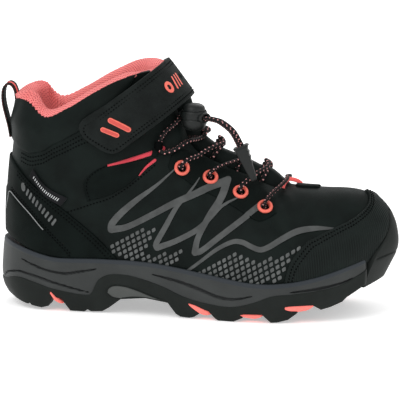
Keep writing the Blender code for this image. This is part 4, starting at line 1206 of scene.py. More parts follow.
LIP_LINE = ((-122.0, 41.6), (-118.0, 41.2), (-112.0, 40.0), (-104.0, 38.0), (-94.0, 35.4), (-82.8, 33.8),
            (-57.1, 34.3), (-24.5, 33.7), (8.7, 29.8), (41.6, 25.1), (62.3, 25.4), (81.4, 28.8),
            (101.3, 35.4), (111.9, 40.0), (121.0, 44.0))
GROOVES = (
    (((-107.0, 31.4), (-92.9, 26.2), (-80.2, 24.3), (-70.6, 25.8), (-59.8, 27.9)), 0.75),
    (((-119.1, 17.9), (-115.5, 21.5), (-108.0, 23.4), (-98.0, 21.4), (-88.7, 18.7), (-75.7, 15.3),
      (-64.2, 12.9)), 0.55),
    (((-22.5, 26.6), (-5.6, 23.4), (8.7, 19.5), (21.3, 15.4), (32.5, 14.8), (42.2, 17.0)), 1.0),
    (((65.9, 19.8), (81.4, 21.6), (94.7, 24.4), (101.0, 27.0)), 0.75),
)
# How far the wall stands out from the sole line, by share of the wall's height.
HEEL_WALL = ((0.0, -3.4), (0.12, -1.4), (0.2, 0.6), (0.3, 2.5), (0.48, 3.9), (0.7, 3.6), (0.88, 3.1),
             (1.0, 2.1))
SIDE_WALL = ((0.0, 0.9), (0.1, 1.6), (0.3, 2.5), (0.6, 3.0), (0.88, 2.8), (1.0, 2.2))
RUBBER_STEP = 0.6
TOE_TUCK = 6.4
# The least wall that the midsole keeps above the rubber's border.
LEAST_WALL = 1.5
QUARTERS = (0.25, 0.5, 0.75)


def read_line(x, line):
    """Height of a side-view line at x."""
    line = np.asarray(line)
    return np.interp(x, line[:, 0], line[:, 1])


BORDER = spline(BORDER_LINE, 0.8)
LIP = spline(LIP_LINE, 0.8)
RECESS = spline(RECESS_LINE, 0.8)
HEEL_PROFILE = spline(HEEL_WALL, 0.02)
SIDE_PROFILE = spline(SIDE_WALL, 0.02)


def ground(x):
    """Height of the sole's underside before the tread, with the toe's upturn."""
    return np.maximum(0.0, np.asarray(x) - 60.0) * 0.36 * ramp(x, 55.0, 90.0)


def wall_offset(s, share):
    """How far the wall stands out from the sole line, by station and share of the wall's height."""
    at_heel = read_line(share, HEEL_PROFILE)
    at_side = read_line(share, SIDE_PROFILE)
    return at_heel + (at_side - at_heel) * ramp(s, 0.2, 2.4) - TOE_TUCK * ramp(s, 14.7, 15.1)


def wall(which, s, z, out=0.0):
    """Point of the sole's side wall at station s and height z."""
    s, z = np.broadcast_arrays(np.asarray(s, float), z)
    u = ring_place(which, s)
    base = station(u)
    low = ground(base[..., 0])
    share = (z - low) / (read_line(base[..., 0], LIP) - low)
    points = base[..., :3] + outward(u) * (wall_offset(s, share) + out)[..., None]
    points[..., 2] = z
    return points


def wall_place(which, spots, offset):
    """Like on_last, for spots given as x, z on the sole's wall."""
    return wall(which, station_at(spots[:, 0]), spots[:, 1], offset)


def groove_mark(points):
    """1 inside a groove line and 0 away from it, for side-view points."""
    near = np.full(len(points), 9.0)
    for path, half in GROOVES:
        line = spline(path, 0.7)
        taper = np.sin(np.linspace(0.0, math.pi, len(line))) ** 0.6 * half + 0.3
        gap = np.linalg.norm(points[:, None] - line[None], axis=-1) / taper
        near = np.minimum(near, gap.min(1))
    return 1 - ramp(near, 0.45, 1.0)


def across_sole(left, right, shares):
    """Points between two wall points, for shares from 0 to 1."""
    return left[None] + (right - left)[None] * np.asarray(shares)[:, None]


def loft(name, sections, material, **finish):
    """Closed skin through equal-length closed sections."""
    sections = np.asarray(sections)
    points = sections.reshape(-1, 3)
    return make(name, points, clean_faces(points, skin(sections)), material, **finish)


def sole_stations(places=()):
    """Evenly spaced stations, with the ones near the given x places moved onto them."""
    regular = np.arange(0.0, TOE + 0.001, 0.04)
    if not len(places):
        return regular
    marks = station_at(np.array([x for x in places if -121 < x < 120]))
    clear = np.abs(regular[:, None] - marks[None]).min(1) > 0.012
    return np.unique(np.concatenate([regular[clear], marks]))


def border_height(x):
    """Height of the rubber's upper border, kept below the midsole's lip."""
    return min(read_line(x, BORDER), read_line(x, LIP) - LEAST_WALL)


WALL_ROWS = 38
BAND_RISE = 0.28


def midsole_section(s):
    """One cross-section of the midsole, with its groove and lip marks."""
    x, seat = station(s)[[0, 2]]
    lip, border = read_line(x, LIP), border_height(x)
    heights = lip - 0.35 - (lip - 0.35 - border + 1.4) * np.linspace(0, 1, WALL_ROWS)
    groove = groove_mark(np.column_stack([np.full(WALL_ROWS, x), heights]))
    band = 1 - ramp(lip - heights, 2.2, 2.9)
    halves = []
    for which in SIDES:
        rim = [wall(which, s, lip, out) for out in (-0.95, -0.55, -0.12)]
        face = wall(which, s, heights, BAND_RISE * band - groove)
        inner_top, foot = wall(which, s, min(seat, lip) - 0.4, -1.6), wall(which, s, border - 1.6, -3.0)
        halves.append([inner_top, *rim, *face, foot])
    outer, inner = halves
    ring = [*outer, *across_sole(outer[-1], inner[-1], QUARTERS), *inner[::-1],
            *across_sole(inner[0], outer[0], QUARTERS)]
    grooves = [*[0.0] * 4, *groove, *[0.0] * 5, *groove[::-1], *[0.0] * 7]
    lips = [*[1.0] * 4, *band, *[0.0] * 5, *band[::-1], *[1.0] * 7]
    return ring, grooves, lips


def build_midsole():
    """The foam midsole; its groove and lip marks are read by its material, which paints shade into the grooves.
    """
    sections, grooves, lips = zip(*(midsole_section(s) for s in sole_stations()))
    loft("midsole_body", sections, FOAM, values={"groove": np.ravel(grooves), "lip": np.ravel(lips)},
         replaces=("midsole",), slot="midsole_foam")


def build_footbed():
    """Contoured footbed: raised at the heel's cup and at the arch, thin at the toes."""
    sections = []
    across = np.linspace(-1.0, 1.0, 15)
    for s in np.arange(1.65, 14.36, 0.15):
        floor = station(s)[2]
        left, right = (wall(which, s, floor) for which in SIDES)
        middle, reach = (left + right) / 2, (left - right) / 2
        reach *= 1 - 9.4 / np.linalg.norm(reach)
        cup = 3.4 * (1 - ramp(s, 3.0, 9.0)) + 1.2
        top = middle + reach * across[:, None]
        bottom = top[::-1].copy()
        top[:, 2] = floor + 3.4 + cup * across ** 4 - 0.5 * ramp(np.abs(across), 0.96, 1.0)
        bottom[:, 2] = floor + 2.2
        sections.append([*top, *bottom])
    loft("footbed_body", sections, FOOTBED, replaces=("footbed",), slot="coral_mesh")


LUG_COLUMNS = (0.035, 0.2, 0.37, 0.41, 0.53, 0.57, 0.8, 0.95)
# How far the inner lugs stand ahead of the outer ones.
LUG_STAGGER = 5.0
RUBBER_ROWS = 22


def lug_share(c):
    """How much of the tread's depth a column across the sole keeps."""
    c = np.abs(c)
    return ramp(c, 0.53, 0.57) + ramp(c, 0.005, 0.035) * (1 - ramp(c, 0.37, 0.41))


def outsole_side(which, s, x, border, foot):
    """One side of an outsole section, from its top over the wall to the tread's edge."""
    heights = border - 0.3 - (border - 0.3 - foot - 0.8) * np.linspace(0, 1, RUBBER_ROWS)
    window = lens_groove(np.column_stack([np.full(RUBBER_ROWS, x), heights]))
    return [wall(which, s, border - 1.9, 0.02), wall(which, s, border, 0.04),
            wall(which, s, border, RUBBER_STEP - 0.25), *wall(which, s, heights, RUBBER_STEP - 0.7 * window),
            wall(which, s, foot + 0.25, RUBBER_STEP - 0.3), wall(which, s, foot, RUBBER_STEP - 1.0)]


def build_outsole():
    """The rubber outsole, with lugs in columns that follow the tread's side view."""
    columns = np.array([-c for c in LUG_COLUMNS[::-1]] + [0.0] + list(LUG_COLUMNS))
    keep = lug_share(columns)
    tread = np.array(TREAD_LINE)
    sections = []
    for s in sole_stations(tread[:, 0]):
        x = station(s)[0]
        outer, inner = (outsole_side(which, s, x, border_height(x), read_line(x, tread)) for which in SIDES)
        under = across_sole(outer[-1], inner[-1], (columns + 1) / 2)
        recess = read_line(x, RECESS)
        shifted = read_line(x + LUG_STAGGER * (np.abs(columns) < 0.5), tread)
        depth = np.minimum(recess, recess + (shifted - recess) * keep)
        under[:, 2] = np.where(keep > 0.99, shifted, depth)
        sections.append([*outer, *under, *inner[::-1], *across_sole(inner[0], outer[0], QUARTERS)])
    loft("outsole_body", sections, TREAD, replaces=("outsole",), slot="outsole_rubber", sharp=32)


LENS = ((-52.4, 13.2), (-51.2, 16.2), (-47.5, 17.9), (-41.0, 17.7), (-33.0, 15.7), (-22.5, 12.2),
        (-12.6, 9.6))
LENS_LOW = ((-12.6, 9.6), (-20.6, 10.6), (-28.0, 11.3), (-36.0, 11.1), (-43.8, 9.9))
LENS_BACK = ((-43.8, 9.9), (-48.5, 10.6), (-52.4, 13.2))


def lens_outline():
    """Outline of the arch window in side view."""
    path = np.concatenate([spline(arc, 0.8) for arc in (LENS, LENS_LOW, LENS_BACK)])
    return path[np.linalg.norm(path - np.roll(path, 1, axis=0), axis=1) > 0.05]


def lens_groove(points):
    """1 on the narrow ditch round the arch window."""
    ring = spline(LENS_BACK + LENS[1:], 0.8)
    gap = np.linalg.norm(points[:, None] - ring[None], axis=-1).min(1)
    return 1 - ramp(gap, 0.5, 1.3)


# Coral tread inserts in side view, heel first.
INSERTS = (
    ((-90.2, 11.0), (-89.6, 12.8), (-88.0, 13.4), (-84.9, 10.2), (-80.0, 5.6), (-81.4, 4.4), (-83.6, 4.5),
     (-87.1, 6.6)),
    ((0.0, 9.6), (0.6, 10.8), (2.3, 11.0), (7.5, 9.7), (15.7, 6.0), (15.6, 3.4), (12.4, 2.4), (8.0, 3.4),
     (2.3, 7.2)),
    ((33.9, 5.0), (35.0, 6.0), (42.0, 6.3), (49.6, 6.2), (50.2, 4.8), (47.6, 3.0), (43.6, 2.1), (37.0, 2.8),
     (34.4, 3.8)),
    ((61.3, 10.0), (62.4, 11.6), (66.4, 12.2), (73.0, 12.4), (79.6, 12.3), (80.8, 10.8), (77.0, 7.9),
     (72.5, 6.9), (66.4, 6.9), (62.4, 8.0)),
)


def build_inserts():
    """The coral tread inserts and the arch window."""
    on_wall = {"place": wall_place, "scale": 1.0, "step": 1.1}
    for number, corners in enumerate(INSERTS, start=1):
        ring = spline(corners + corners[:1], 0.7)[:-1]
        for which in SIDES:
            sheet(f"tread_claw_{which}_{number}", [ring], (-7.0, 1.35), CORAL_TREAD, sides=(which,), edge=1.5,
                  replaces=(f"tread_insert_{which}_{number}",), slot="tread_coral", **on_wall)
    sheet("arch_window", [lens_outline()], (-0.6, 0.75), WINDOW, edge=0.9, replaces=("shank_plate",),
          slot="midsole_foam", **on_wall)


# ---------------------------------------------------------------- collar and tongue

# Section of the collar roll as (rise above the rim, offset from the last), from outside to inside.
ROLL_SECTION = ((-2.5, 0.2), (-0.5, 0.9), (1.6, 1.3), (3.6, 0.7), (5.2, -0.9), (5.9, -3.2), (5.3, -5.8),
                (3.0, -8.0), (-2.0, -9.6), (-9.0, -9.9), (-17.0, -9.2), (-26.0, -7.8), (-36.0, -6.2),
                (-36.5, -4.6), (-20.0, -4.2), (-8.0, -3.4), (-3.5, -2.6))
# Height of the crest by station.
ROLL_CREST = ((0.0, 2.2), (1.0, 3.0), (2.0, 4.4), (3.0, 3.6), (4.0, 3.4), (5.0, 3.5), (6.0, 3.7), (6.9, 3.2),
              (7.7, 2.4))
CREST = spline(ROLL_CREST, 0.1)
ROLL_END = 7.75
# Steps between the roll's sections, in stations, and between their points, in millimetres.
ROLL_STEP = 0.045
ROLL_DETAIL = 0.9
# Offset about which the roll shrinks where it closes.
ROLL_CORE = -3.4
SECTION_CREST = 5.9
# Millimetres along the roll from one pleat to the next.
PLEATS = 3.3
TONGUE_TOP = -7.2


def roll_height(s):
    """Height of the roll's crest at station s, as a share of the section's."""
    return read_line(s, CREST) / SECTION_CREST


def roll_close(which, s):
    """How much of the roll's size is left at station s: it closes at its front ends and under the strap."""
    past = max(0.0, (s - ROLL_END + 0.5) / 0.5)
    end = 0.35 + 0.65 * math.sqrt(max(0.0, 1 - past ** 2))
    return end * (1 - 0.45 * ramp(s, 6.0, 6.9) * (which == LATERAL))


def roll_section(section, which, s, phase):
    """One section of the roll on the last, with a pleat whose phase is in turns."""
    rise = np.where(section[:, 0] > 0, section[:, 0] * roll_height(s), section[:, 0])
    swell = ramp(section[:, 0], -12.0, 2.0)
    valley = math.exp(-((s - 2.3) / 1.1) ** 2) * 0.55 + 0.06
    pleat = math.sin(phase * math.tau) * valley * swell * ramp(ROLL_END - s, 0.1, 0.9)
    centre = np.column_stack([np.minimum(rise, 1.0), np.full(len(rise), -4.0)])
    away = unit(np.column_stack([rise, section[:, 1]]) - centre)
    close = roll_close(which, s)
    up = (rise + away[:, 0] * pleat) * np.where(rise > 0, close, 1.0)
    out = ROLL_CORE + (section[:, 1] + away[:, 1] * pleat - ROLL_CORE) * close
    return on_last(which, np.column_stack([np.full(len(up), s), 1 + up / rim_height(s)]), out)


def build_collar():
    """The padded coral roll round the foot opening, with small uneven pleats."""
    section = spline([*ROLL_SECTION, ROLL_SECTION[0]], ROLL_DETAIL)[:-1]
    stations = np.arange(-ROLL_END, ROLL_END + 0.001, ROLL_STEP)
    jitter = np.random.default_rng(SEED).uniform(0.7, 1.3, len(stations))
    phases = np.cumsum(jitter) * ROLL_STEP * CHART_SCALE[0] / PLEATS
    sections = np.array([roll_section(section, LATERAL if s < 0 else MEDIAL, abs(s), phase)
                         for s, phase in zip(stations, phases)])
    uv = grid_pairs(stations * CHART_SCALE[0], travel_along(section))
    make("collar_roll", sections.reshape(-1, 3), skin(sections), MESH, uv=uv, replaces=("collar_padding",),
         slot="coral_mesh", sharp=60)


def build_lining():
    """Mesh lining of the whole inside."""
    ring = outline([(0.0, 0.03), (TOE, 0.03)], [(TOE, 0.03), (TOE, 1.0)], [(TOE, 1.0), (13.5, 1.0)],
                   [(13.5, 1.0), (13.0, 0.5), (12.0, 0.4), (8.0, 0.4), (7.0, 0.6)], [(7.0, 0.6), (0.0, 0.62)],
                   [(0.0, 0.62), (0.0, 0.03)])
    sheet("inner_lining", [ring], (-5.4, -4.2), MESH, step=3.4, replaces=("lining",), slot="coral_mesh")


def tongue_rise(which, spots, distance, flat):
    """The tongue is padded: it swells in the middle and between its quilting lines."""
    s, v = spots[:, 0], spots[:, 1]
    rise = 12.4 * ramp(v, 0.845, 0.985) * (1 - 0.55 * ramp(s, 12.3, 13.3))
    quilting = 0.8 * np.abs(np.sin(s * 2.6)) * ramp(v, 0.86, 0.93)
    return (rise + quilting) * ramp(distance, 0.0, 6.0)


def build_tongue():
    """The padded tongue, its lining and the fold that joins it to the quarters."""
    ring = outline([(8.0, 1.0), (13.4, 1.0)],
                   [(13.4, 1.0), (13.1, 0.84), (12.0, 0.74), (10.0, 0.68), (8.8, 0.66), (8.0, 0.8)],
                   [(8.0, 0.8), (8.0, 1.0)])
    pad = sheet("tongue_pad", [ring], (-10.0, TONGUE_TOP), CLOTH_SMOOTH, edge=1.4, step=1.6, relief=tongue_rise,
                replaces=("tongue",))
    fill(pad, 1.2)
    back = straight_chart((8.0, 1.0), (9.8, 1.0), (9.6, 0.74), (8.0, 0.8))
    sheet("tongue_back_lining", [back], (-11.4, -10.1), MESH, edge=0.6, step=2.2, slot="coral_mesh")
    fold = straight_chart((6.4, 0.99), (8.6, 0.99), (8.8, 0.7), (6.4, 0.66))
    sheet("gusset_lining", [fold], (-8.6, -7.7), MESH, edge=0.4, step=2.2, slot="coral_mesh")


GUSSET_UPPER = ((-53.0, 93.6), (-38.8, 97.6), (-26.6, 101.6), (-18.8, 104.6))
GUSSET_LOWER = ((-33.0, 88.0), (-28.7, 93.2), (-23.6, 97.4))


def build_gusset():
    """Coral elastic bands showing between the ankle panel and the throat."""
    rings = [side_stroke(GUSSET_UPPER, (1.4, 2.5, 2.7, 2.7)), side_stroke(GUSSET_LOWER, (0.8, 1.6, 2.0))]
    one_sided("gusset_bands", rings, (0.2, 1.5), GUSSET, edge=0.7, step=1.2, slot="coral_mesh")


# ---------------------------------------------------------------- lacing

CROSSINGS = (-3.0, 8.0, 22.0, 38.0)
LACE_BAR_X = 54.0
ANKLE_LOOP = (-22.0, 106.0)
LOOP_LIFT = 3.6
LOCK_CENTRE = np.array([-0.6, -16.0, 124.3])
LOCK_ALONG = np.array([0.848, -0.53, 0.0])
LOCK_ACROSS = np.array([0.53, 0.848, 0.0])
CLIP_TOP = np.array([30.5, -23.0, 107.0])
CLIP_BOTTOM = np.array([38.5, -22.0, 87.0])
CLIP_LENGTH = 23.5
CORD_SPREAD = 1.45
# How far the lace stands off the last just above and just below its ankle loop.
LOOP_ENTRY = ((-19.0, 113.0), 4.2)
LOOP_EXIT = ((-17.5, 102.0), 3.0)
# The keeper's pull as (x on the ridge, signed distance from the ridge, offset).
KEEPER_PULL = ((50.0, -0.14, 0.6), (50.6, -0.12, 2.0), (53.0, -0.06, 2.9), (56.0, 0.0, 3.0),
               (58.5, 0.05, 2.4), (60.5, 0.08, 0.8))
# Profiles of turned parts as (radius, height).
EYELET = ((2.75, -0.6), (2.7, 1.5), (2.95, 2.25), (3.5, 2.75), (4.05, 2.75), (4.65, 2.3), (4.95, 1.6),
          (4.9, 1.1), (4.3, 0.9), (3.2, 0.9), (3.15, -0.6))
ANKLE_RING = ((1.55, -2.3), (1.9, -2.6), (2.5, -2.3), (2.6, 0.0), (2.5, 2.3), (1.9, 2.6), (1.55, 2.3))


def off_last(which, place, offset):
    """Point off the last over a place given as x, z in side view."""
    return on_last(which, side(place)[0], offset)


def build_eyelets():
    """Eight moulded rings, square to the upper."""
    for which in SIDES:
        for number, spot in enumerate(side(EYELET_SPOTS), start=1):
            turned(f"eyelet_ring_{which}_{number}", EYELET, on_last(which, spot), last_normal(which, *spot),
                   CORAL_GLOSS, segments=40, replaces=(f"eyelet_{which}_{number}",), slot="coral_plastic")


def lace_half(which):
    """One half of the cord as (s, w, offset); w is the signed distance from the ridge, medial positive."""
    sign = -1 if which == LATERAL else 1
    hump = 6.6 if which == LATERAL else 9.2
    points = []
    for place, offset in ((ANKLE_LOOP, LOOP_LIFT), LOOP_EXIT, ((-10.0, 105.0), 4.6)):
        s, v = side(place)[0]
        points.append((s, sign * (1 - v), offset))
    for (s, v), crossing in zip(side(EYELET_SPOTS), CROSSINGS):
        middle = ridge(crossing)
        reach = 1 - v
        points += [(middle, sign * 0.09, hump - 0.8), (middle, 0.0, hump),
                   (middle + 0.06, -sign * 0.07, hump - 2.2), (middle * 0.8 + s * 0.2, -sign * 0.12, 1.8),
                   (middle * 0.65 + s * 0.35, -sign * 0.15, -2.8),
                   (middle * 0.5 + s * 0.5, -sign * 0.19, -4.3), (s + 0.01, -sign * (reach - 0.012), -4.6),
                   (s, -sign * reach, -1.0), (s, -sign * reach, 2.2), (s + 0.02, -sign * (reach - 0.02), 4.7)]
        sign = -sign
    return points


def from_chart(points):
    """Smooth (s, w, offset) points in the chart, then carry them onto the last."""
    scale = [*CHART_SCALE, 1.0]
    s, w, offset = (spline(np.array(points) * scale, 0.9) / scale).T
    spots = np.column_stack([s, 1 - np.abs(w)])
    return np.where((w < 0)[:, None], on_last(LATERAL, spots, offset), on_last(MEDIAL, spots, offset))


def lock_lead(which):
    """One cord through the lock, from its free end towards the ankle loop."""
    shift = LOCK_ACROSS * (CORD_SPREAD if which == MEDIAL else -CORD_SPREAD)
    into_clip = unit(CLIP_BOTTOM - CLIP_TOP)
    points = [CLIP_TOP + into_clip * reach + shift for reach in (3.0, 0.0, -3.0)]
    points += [np.array(spot) + shift for spot in ((25.5, -25.5, 117.5), (19.0, -27.3, 123.2))]
    points += [LOCK_CENTRE + LOCK_ALONG * reach + shift for reach in (17.0, 9.0, 0.0, -9.0)]
    if which == MEDIAL:
        points.append(on_last(LATERAL, (ridge(-8.0), 1.0), 6.2))
        points.append(off_last(MEDIAL, (-13.0, 118.0), 5.4))
    else:
        points.append(off_last(LATERAL, (-13.5, 119.5), 4.8))
    points += [off_last(which, *LOOP_ENTRY), off_last(which, ANKLE_LOOP, LOOP_LIFT)]
    return spline(points, 0.9)


def build_lace():
    """The elastic lace: one cord from the clip through the lock, all eyelets and the keeper, and back."""
    bar = (ridge(LACE_BAR_X), 0.0, 4.4)
    laced = from_chart(lace_half(LATERAL) + [bar] + lace_half(MEDIAL)[::-1])
    path = np.concatenate([lock_lead(LATERAL), laced[1:-1], lock_lead(MEDIAL)[::-1]])
    sweep("lace_cord", path, carried_normals(path), circle(14) * LACE_RADIUS, CORD, replaces=("lace",),
          slot="lace_cord", sharp=60)


def build_lace_guides():
    """Webbing loops at the ankle, the keeper on the toe end of the tongue and its pink pull."""
    for which in SIDES:
        axis = unit(off_last(which, *LOOP_EXIT) - off_last(which, *LOOP_ENTRY))
        turned(f"ankle_loop_{which}", ANKLE_RING, off_last(which, ANKLE_LOOP, LOOP_LIFT), axis, THREAD,
               segments=20, replaces=(f"lace_loop_{which}",), slot="strap_webbing")
    root = side_stroke(((-24.0, 101.5), (-22.4, 105.0)), (4.6, 3.6))
    one_sided("ankle_loop_base", [root], (0.2, 1.8), CLOTH_DARK, step=1.0, slot="strap_webbing")
    keeper = outline([(13.25, 1.0), (13.2, 0.965), (13.3, 0.945)],
                     [(13.3, 0.945), (13.85, 0.955), (13.95, 0.975), (13.95, 1.0)],
                     [(13.95, 1.0), (13.25, 1.0)])
    sheet("keeper_tab", [keeper], (0.1, 1.3), CLOTH_DARK, edge=1.0, step=1.0, replaces=("lace_keeper",))
    path = from_chart([(ridge(x), w, offset) for x, w, offset in KEEPER_PULL])
    sweep("keeper_loop", path, carried_normals(path), rounded_section(2.6, 0.9, 0.4), CORAL_TAPE,
          slot="coral_mesh", sharp=50)


# ---------------------------------------------------------------- cord lock

LOCK_FLOOR = -7.9
SPRING_LOW = -7.2
SPRING_HIGH = -4.9
SPRING_TURNS = 3
SPRING_RADIUS = 3.4
BARREL = ((0.0, -9.0), (3.0, -8.9), (5.2, -8.2), (6.9, -6.6), (7.9, -4.4), (8.15, -2.0), (7.85, -1.6),
          (7.85, -1.1), (8.2, -0.7), (8.2, 1.8), (7.95, 3.2), (7.6, 3.8), (7.25, 3.6), (7.2, 1.0), (5.3, 0.9),
          (5.2, -6.6), (4.3, -7.8), (0.0, LOCK_FLOOR))
PORT = ((2.1, 7.4), (3.0, 7.4), (3.3, 8.6), (3.1, 9.5), (2.5, 9.9), (2.0, 9.6))
BUTTON = ((0.0, -4.4), (4.8, -4.4), (4.8, 3.3), (6.8, 3.35), (7.0, 3.8), (6.95, 4.9), (6.5, 6.2), (5.4, 7.3),
          (3.8, 8.0), (2.0, 8.35), (0.0, 8.4))


def build_lock():
    """The cord lock: barrel with its two cord ports, and the push button inside it."""
    finish = {"material": LOCK, "slot": "lock_plastic", "sharp": 40}
    upright = {"centre": LOCK_CENTRE, "axis": (0, 0, 1), "segments": 64, **finish}
    turned("lock_body", BARREL, body="cord_lock", replaces=("cord_lock_barrel",), **upright)
    turned("lock_button", BUTTON, body="plunger", replaces=("cord_lock_plunger",), **upright)
    for sign, label in ((1, "front"), (-1, "back")):
        ring = turned(f"lock_port_{label}", PORT, LOCK_CENTRE, LOCK_ALONG * sign, body="cord_lock", segments=32,
                      **finish)
        widen(ring, LOCK_CENTRE, LOCK_ACROSS, 1.55)


def build_spring():
    """The lock's compression spring, on the cord lock's body."""
    turns = np.linspace(0, SPRING_TURNS * math.tau, 121)
    height = np.linspace(SPRING_LOW, SPRING_HIGH, len(turns))
    path = LOCK_CENTRE + np.column_stack([SPRING_RADIUS * np.cos(turns), SPRING_RADIUS * np.sin(turns), height])
    spring = sweep("lock_spring", path, carried_normals(path), circle(8) * 0.28, STEEL, body="cord_lock",
                   replaces=("cord_lock_spring",), slot="spring_steel", sharp=60)
    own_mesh(spring)


def widen(piece, centre, axis, factor):
    """Stretch a finished piece about a centre along one axis."""
    pivot = (centre + SHIFT) * MM
    points = read_points(piece) - pivot
    write_points(piece, points + np.outer(points @ axis, axis) * (factor - 1) + pivot)


def clip_ring(reach):
    """Outline of the clip at a distance from its top, toothed on one edge and grooved on its faces."""
    share = np.clip(reach / CLIP_LENGTH, 0, 1)
    half = 4.1 - 2.2 * share
    ring = rounded_section(2 * half, 5.6 - 2.4 * share, 1.1, 4)
    ring *= math.sqrt(max(0.0, 1 - max(0.0, (reach - CLIP_LENGTH + 1.8) / 1.8) ** 2)) * 0.98 + 0.02
    if 0 < reach < 13:
        ring[:, 0] -= np.where(ring[:, 0] < 0, 0.75 * max(0.0, 1 - (reach % 3.4) / 2.4), 0.0)
    ring[:, 1] -= np.sign(ring[:, 1]) * 0.55 * np.exp(-((ring[:, 0] + 0.6) / 0.7) ** 2)
    return ring * (1 + 0.5 / half) if reach < 0.6 else ring


def build_clip():
    """Tapered cord end with a toothed edge."""
    along = unit(CLIP_BOTTOM - CLIP_TOP)
    across = unit(np.cross([0.0, 1.0, 0.0], along))
    axes = np.array([across, np.cross(along, across)])
    reaches = np.linspace(-0.8, CLIP_LENGTH, 60)
    sections = [CLIP_TOP + along * reach + clip_ring(reach) @ axes for reach in reaches]
    loft("end_clip", sections, LOCK, replaces=("cord_end_clip",), slot="lock_plastic", sharp=35)


# ---------------------------------------------------------------- ankle strap

BEND_ANGLES = np.linspace(-math.pi / 2, math.pi / 2, 241)
BEND_CURVE = np.column_stack([STRAP_LEG_END + STRAP_FRONT * np.cos(BEND_ANGLES),
                              STRAP_LEG_Y * np.sin(BEND_ANGLES)])
BEND_TRAVEL = travel_along(BEND_CURVE)
BEND_LENGTH = BEND_TRAVEL[-1]
STRAP_SPLIT = BEND_LENGTH * 0.63
STRAP_PLANE = np.array([STRAP_FORWARD, [0.0, 1.0, 0.0]])
BAND_HIGH = STRAP_HIGH - 0.4
# How far the sewn half runs back along the medial side.
SEWN_REACH = 30.5
TAB_OUTLINE = ((0.0, 15.5), (-13.0, 16.4), (-19.5, 16.2), (-23.0, 14.0), (-24.7, 9.5), (-24.4, 5.0),
               (-22.0, -2.0), (-19.5, -7.8), (-15.7, -12.1), (-10.5, -13.6))
TAB_STITCHES = ((-30.0, 12.0), (-33.5, 12.6), (-36.4, 9.6), (-36.2, 5.2), (-33.8, -1.0), (-31.0, -7.4),
                (-28.2, -10.6), (-24.4, -11.0))
# Distances of the strap's two rows of stitches from its edges.
STITCH_INSETS = (2.6, 4.6)
# The badge's disc, as a share of the bend, and its three strokes' distances from it.
BADGE_PLACE = 0.285
BADGE_STROKES = (7.2, 10.8, 14.4)
# The tab's two bars as (name, start, end, radius).
TAB_BARS = (("upper", (-3.4, 5.8), (2.4, -5.4), 1.95), ("lower", (-10.9, 4.0), (-5.8, -4.0), 1.8))


def strap_spot(travel):
    """Point and outward direction in the strap's plane, by distance from the lateral bend."""
    travel = np.asarray(travel)[:, None]
    angle = np.interp(np.clip(travel, 0, BEND_LENGTH), BEND_TRAVEL, BEND_ANGLES)
    legs = np.minimum(travel, 0) - np.maximum(travel - BEND_LENGTH, 0)
    forward = STRAP_LEG_END + STRAP_FRONT * np.cos(angle) + legs
    out = unit(np.concatenate([np.cos(angle) / STRAP_FRONT, np.sin(angle) / STRAP_LEG_Y], -1))
    return np.concatenate([forward, STRAP_LEG_Y * np.sin(angle)], -1), out


def on_strap(which, spots, offset):
    """Strap chart: (travel, up) and an offset from the middle of the band; which is not used."""
    spot, out = strap_spot(spots[:, 0])
    return STRAP_ORIGIN + (spot + out * np.asarray(offset)[:, None]) @ STRAP_PLANE + spots[:, 1:] * STRAP_UP


def strap_stitches(name, row, body):
    """Stitches on the strap's outer face, along a smooth row of (travel, up) points."""
    path = spline(row, 1.0)
    points = on_strap(LATERAL, path, np.full(len(path), 1.12))
    return stitches(name, points, strap_spot(path[:, 0])[1] @ STRAP_PLANE, body=body, pitch=2.1, length=1.1)


def strap_relief(which, spots, distance, flat):
    """Soft band: quilted between its seams, with slow waves."""
    quilt = 0.35 * ramp(distance, 1.6, 4.5) - 0.3 * np.exp(-((distance - 1.7) / 0.5) ** 2)
    return quilt + 0.18 * np.sin(flat[:, 0] * 0.21 + flat[:, 1] * 0.09)


def strap_sheet(name, ring, layer, material, hinge, **options):
    """A closed band on the strap; hinge names a side, and the band then rides no body, or it names a body that
    the band rides.
    """
    blended = hinge in SIDES
    piece = sheet(name, [ring], layer, material, sides=(LATERAL,), place=on_strap, scale=1.0,
                  body=None if blended else hinge, **options)
    if blended:
        blend_strap(piece, hinge)


def blend_strap(piece, hinge):
    """Bake a strap piece's placement into its points, the same for either side."""
    if hinge == MEDIAL:
        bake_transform(piece)
    else:
        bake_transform(piece)


def straight(*corners):
    """Closed outline with straight sides through corners, in chart millimetres."""
    return np.concatenate([spline(ends, 1.4)[:-1] for ends in zip(corners, corners[1:] + corners[:1])])


def strap_band():
    """Outlines of the free half, with its rounded tab, and of the sewn half."""
    end = spline(np.array(TAB_OUTLINE) - [STRAP_LEG_END, 0.0], 1.4)
    split = ((STRAP_SPLIT, STRAP_LOW), (STRAP_SPLIT, BAND_HIGH))
    corners = (tuple(end[-1]), *split, tuple(end[0]))
    free = np.concatenate([spline(ends, 1.4)[:-1] for ends in zip(corners, corners[1:])] + [end[:-1]])
    back = BEND_LENGTH + SEWN_REACH
    return free, straight(split[0], (back, STRAP_LOW), (back, BAND_HIGH), split[1])


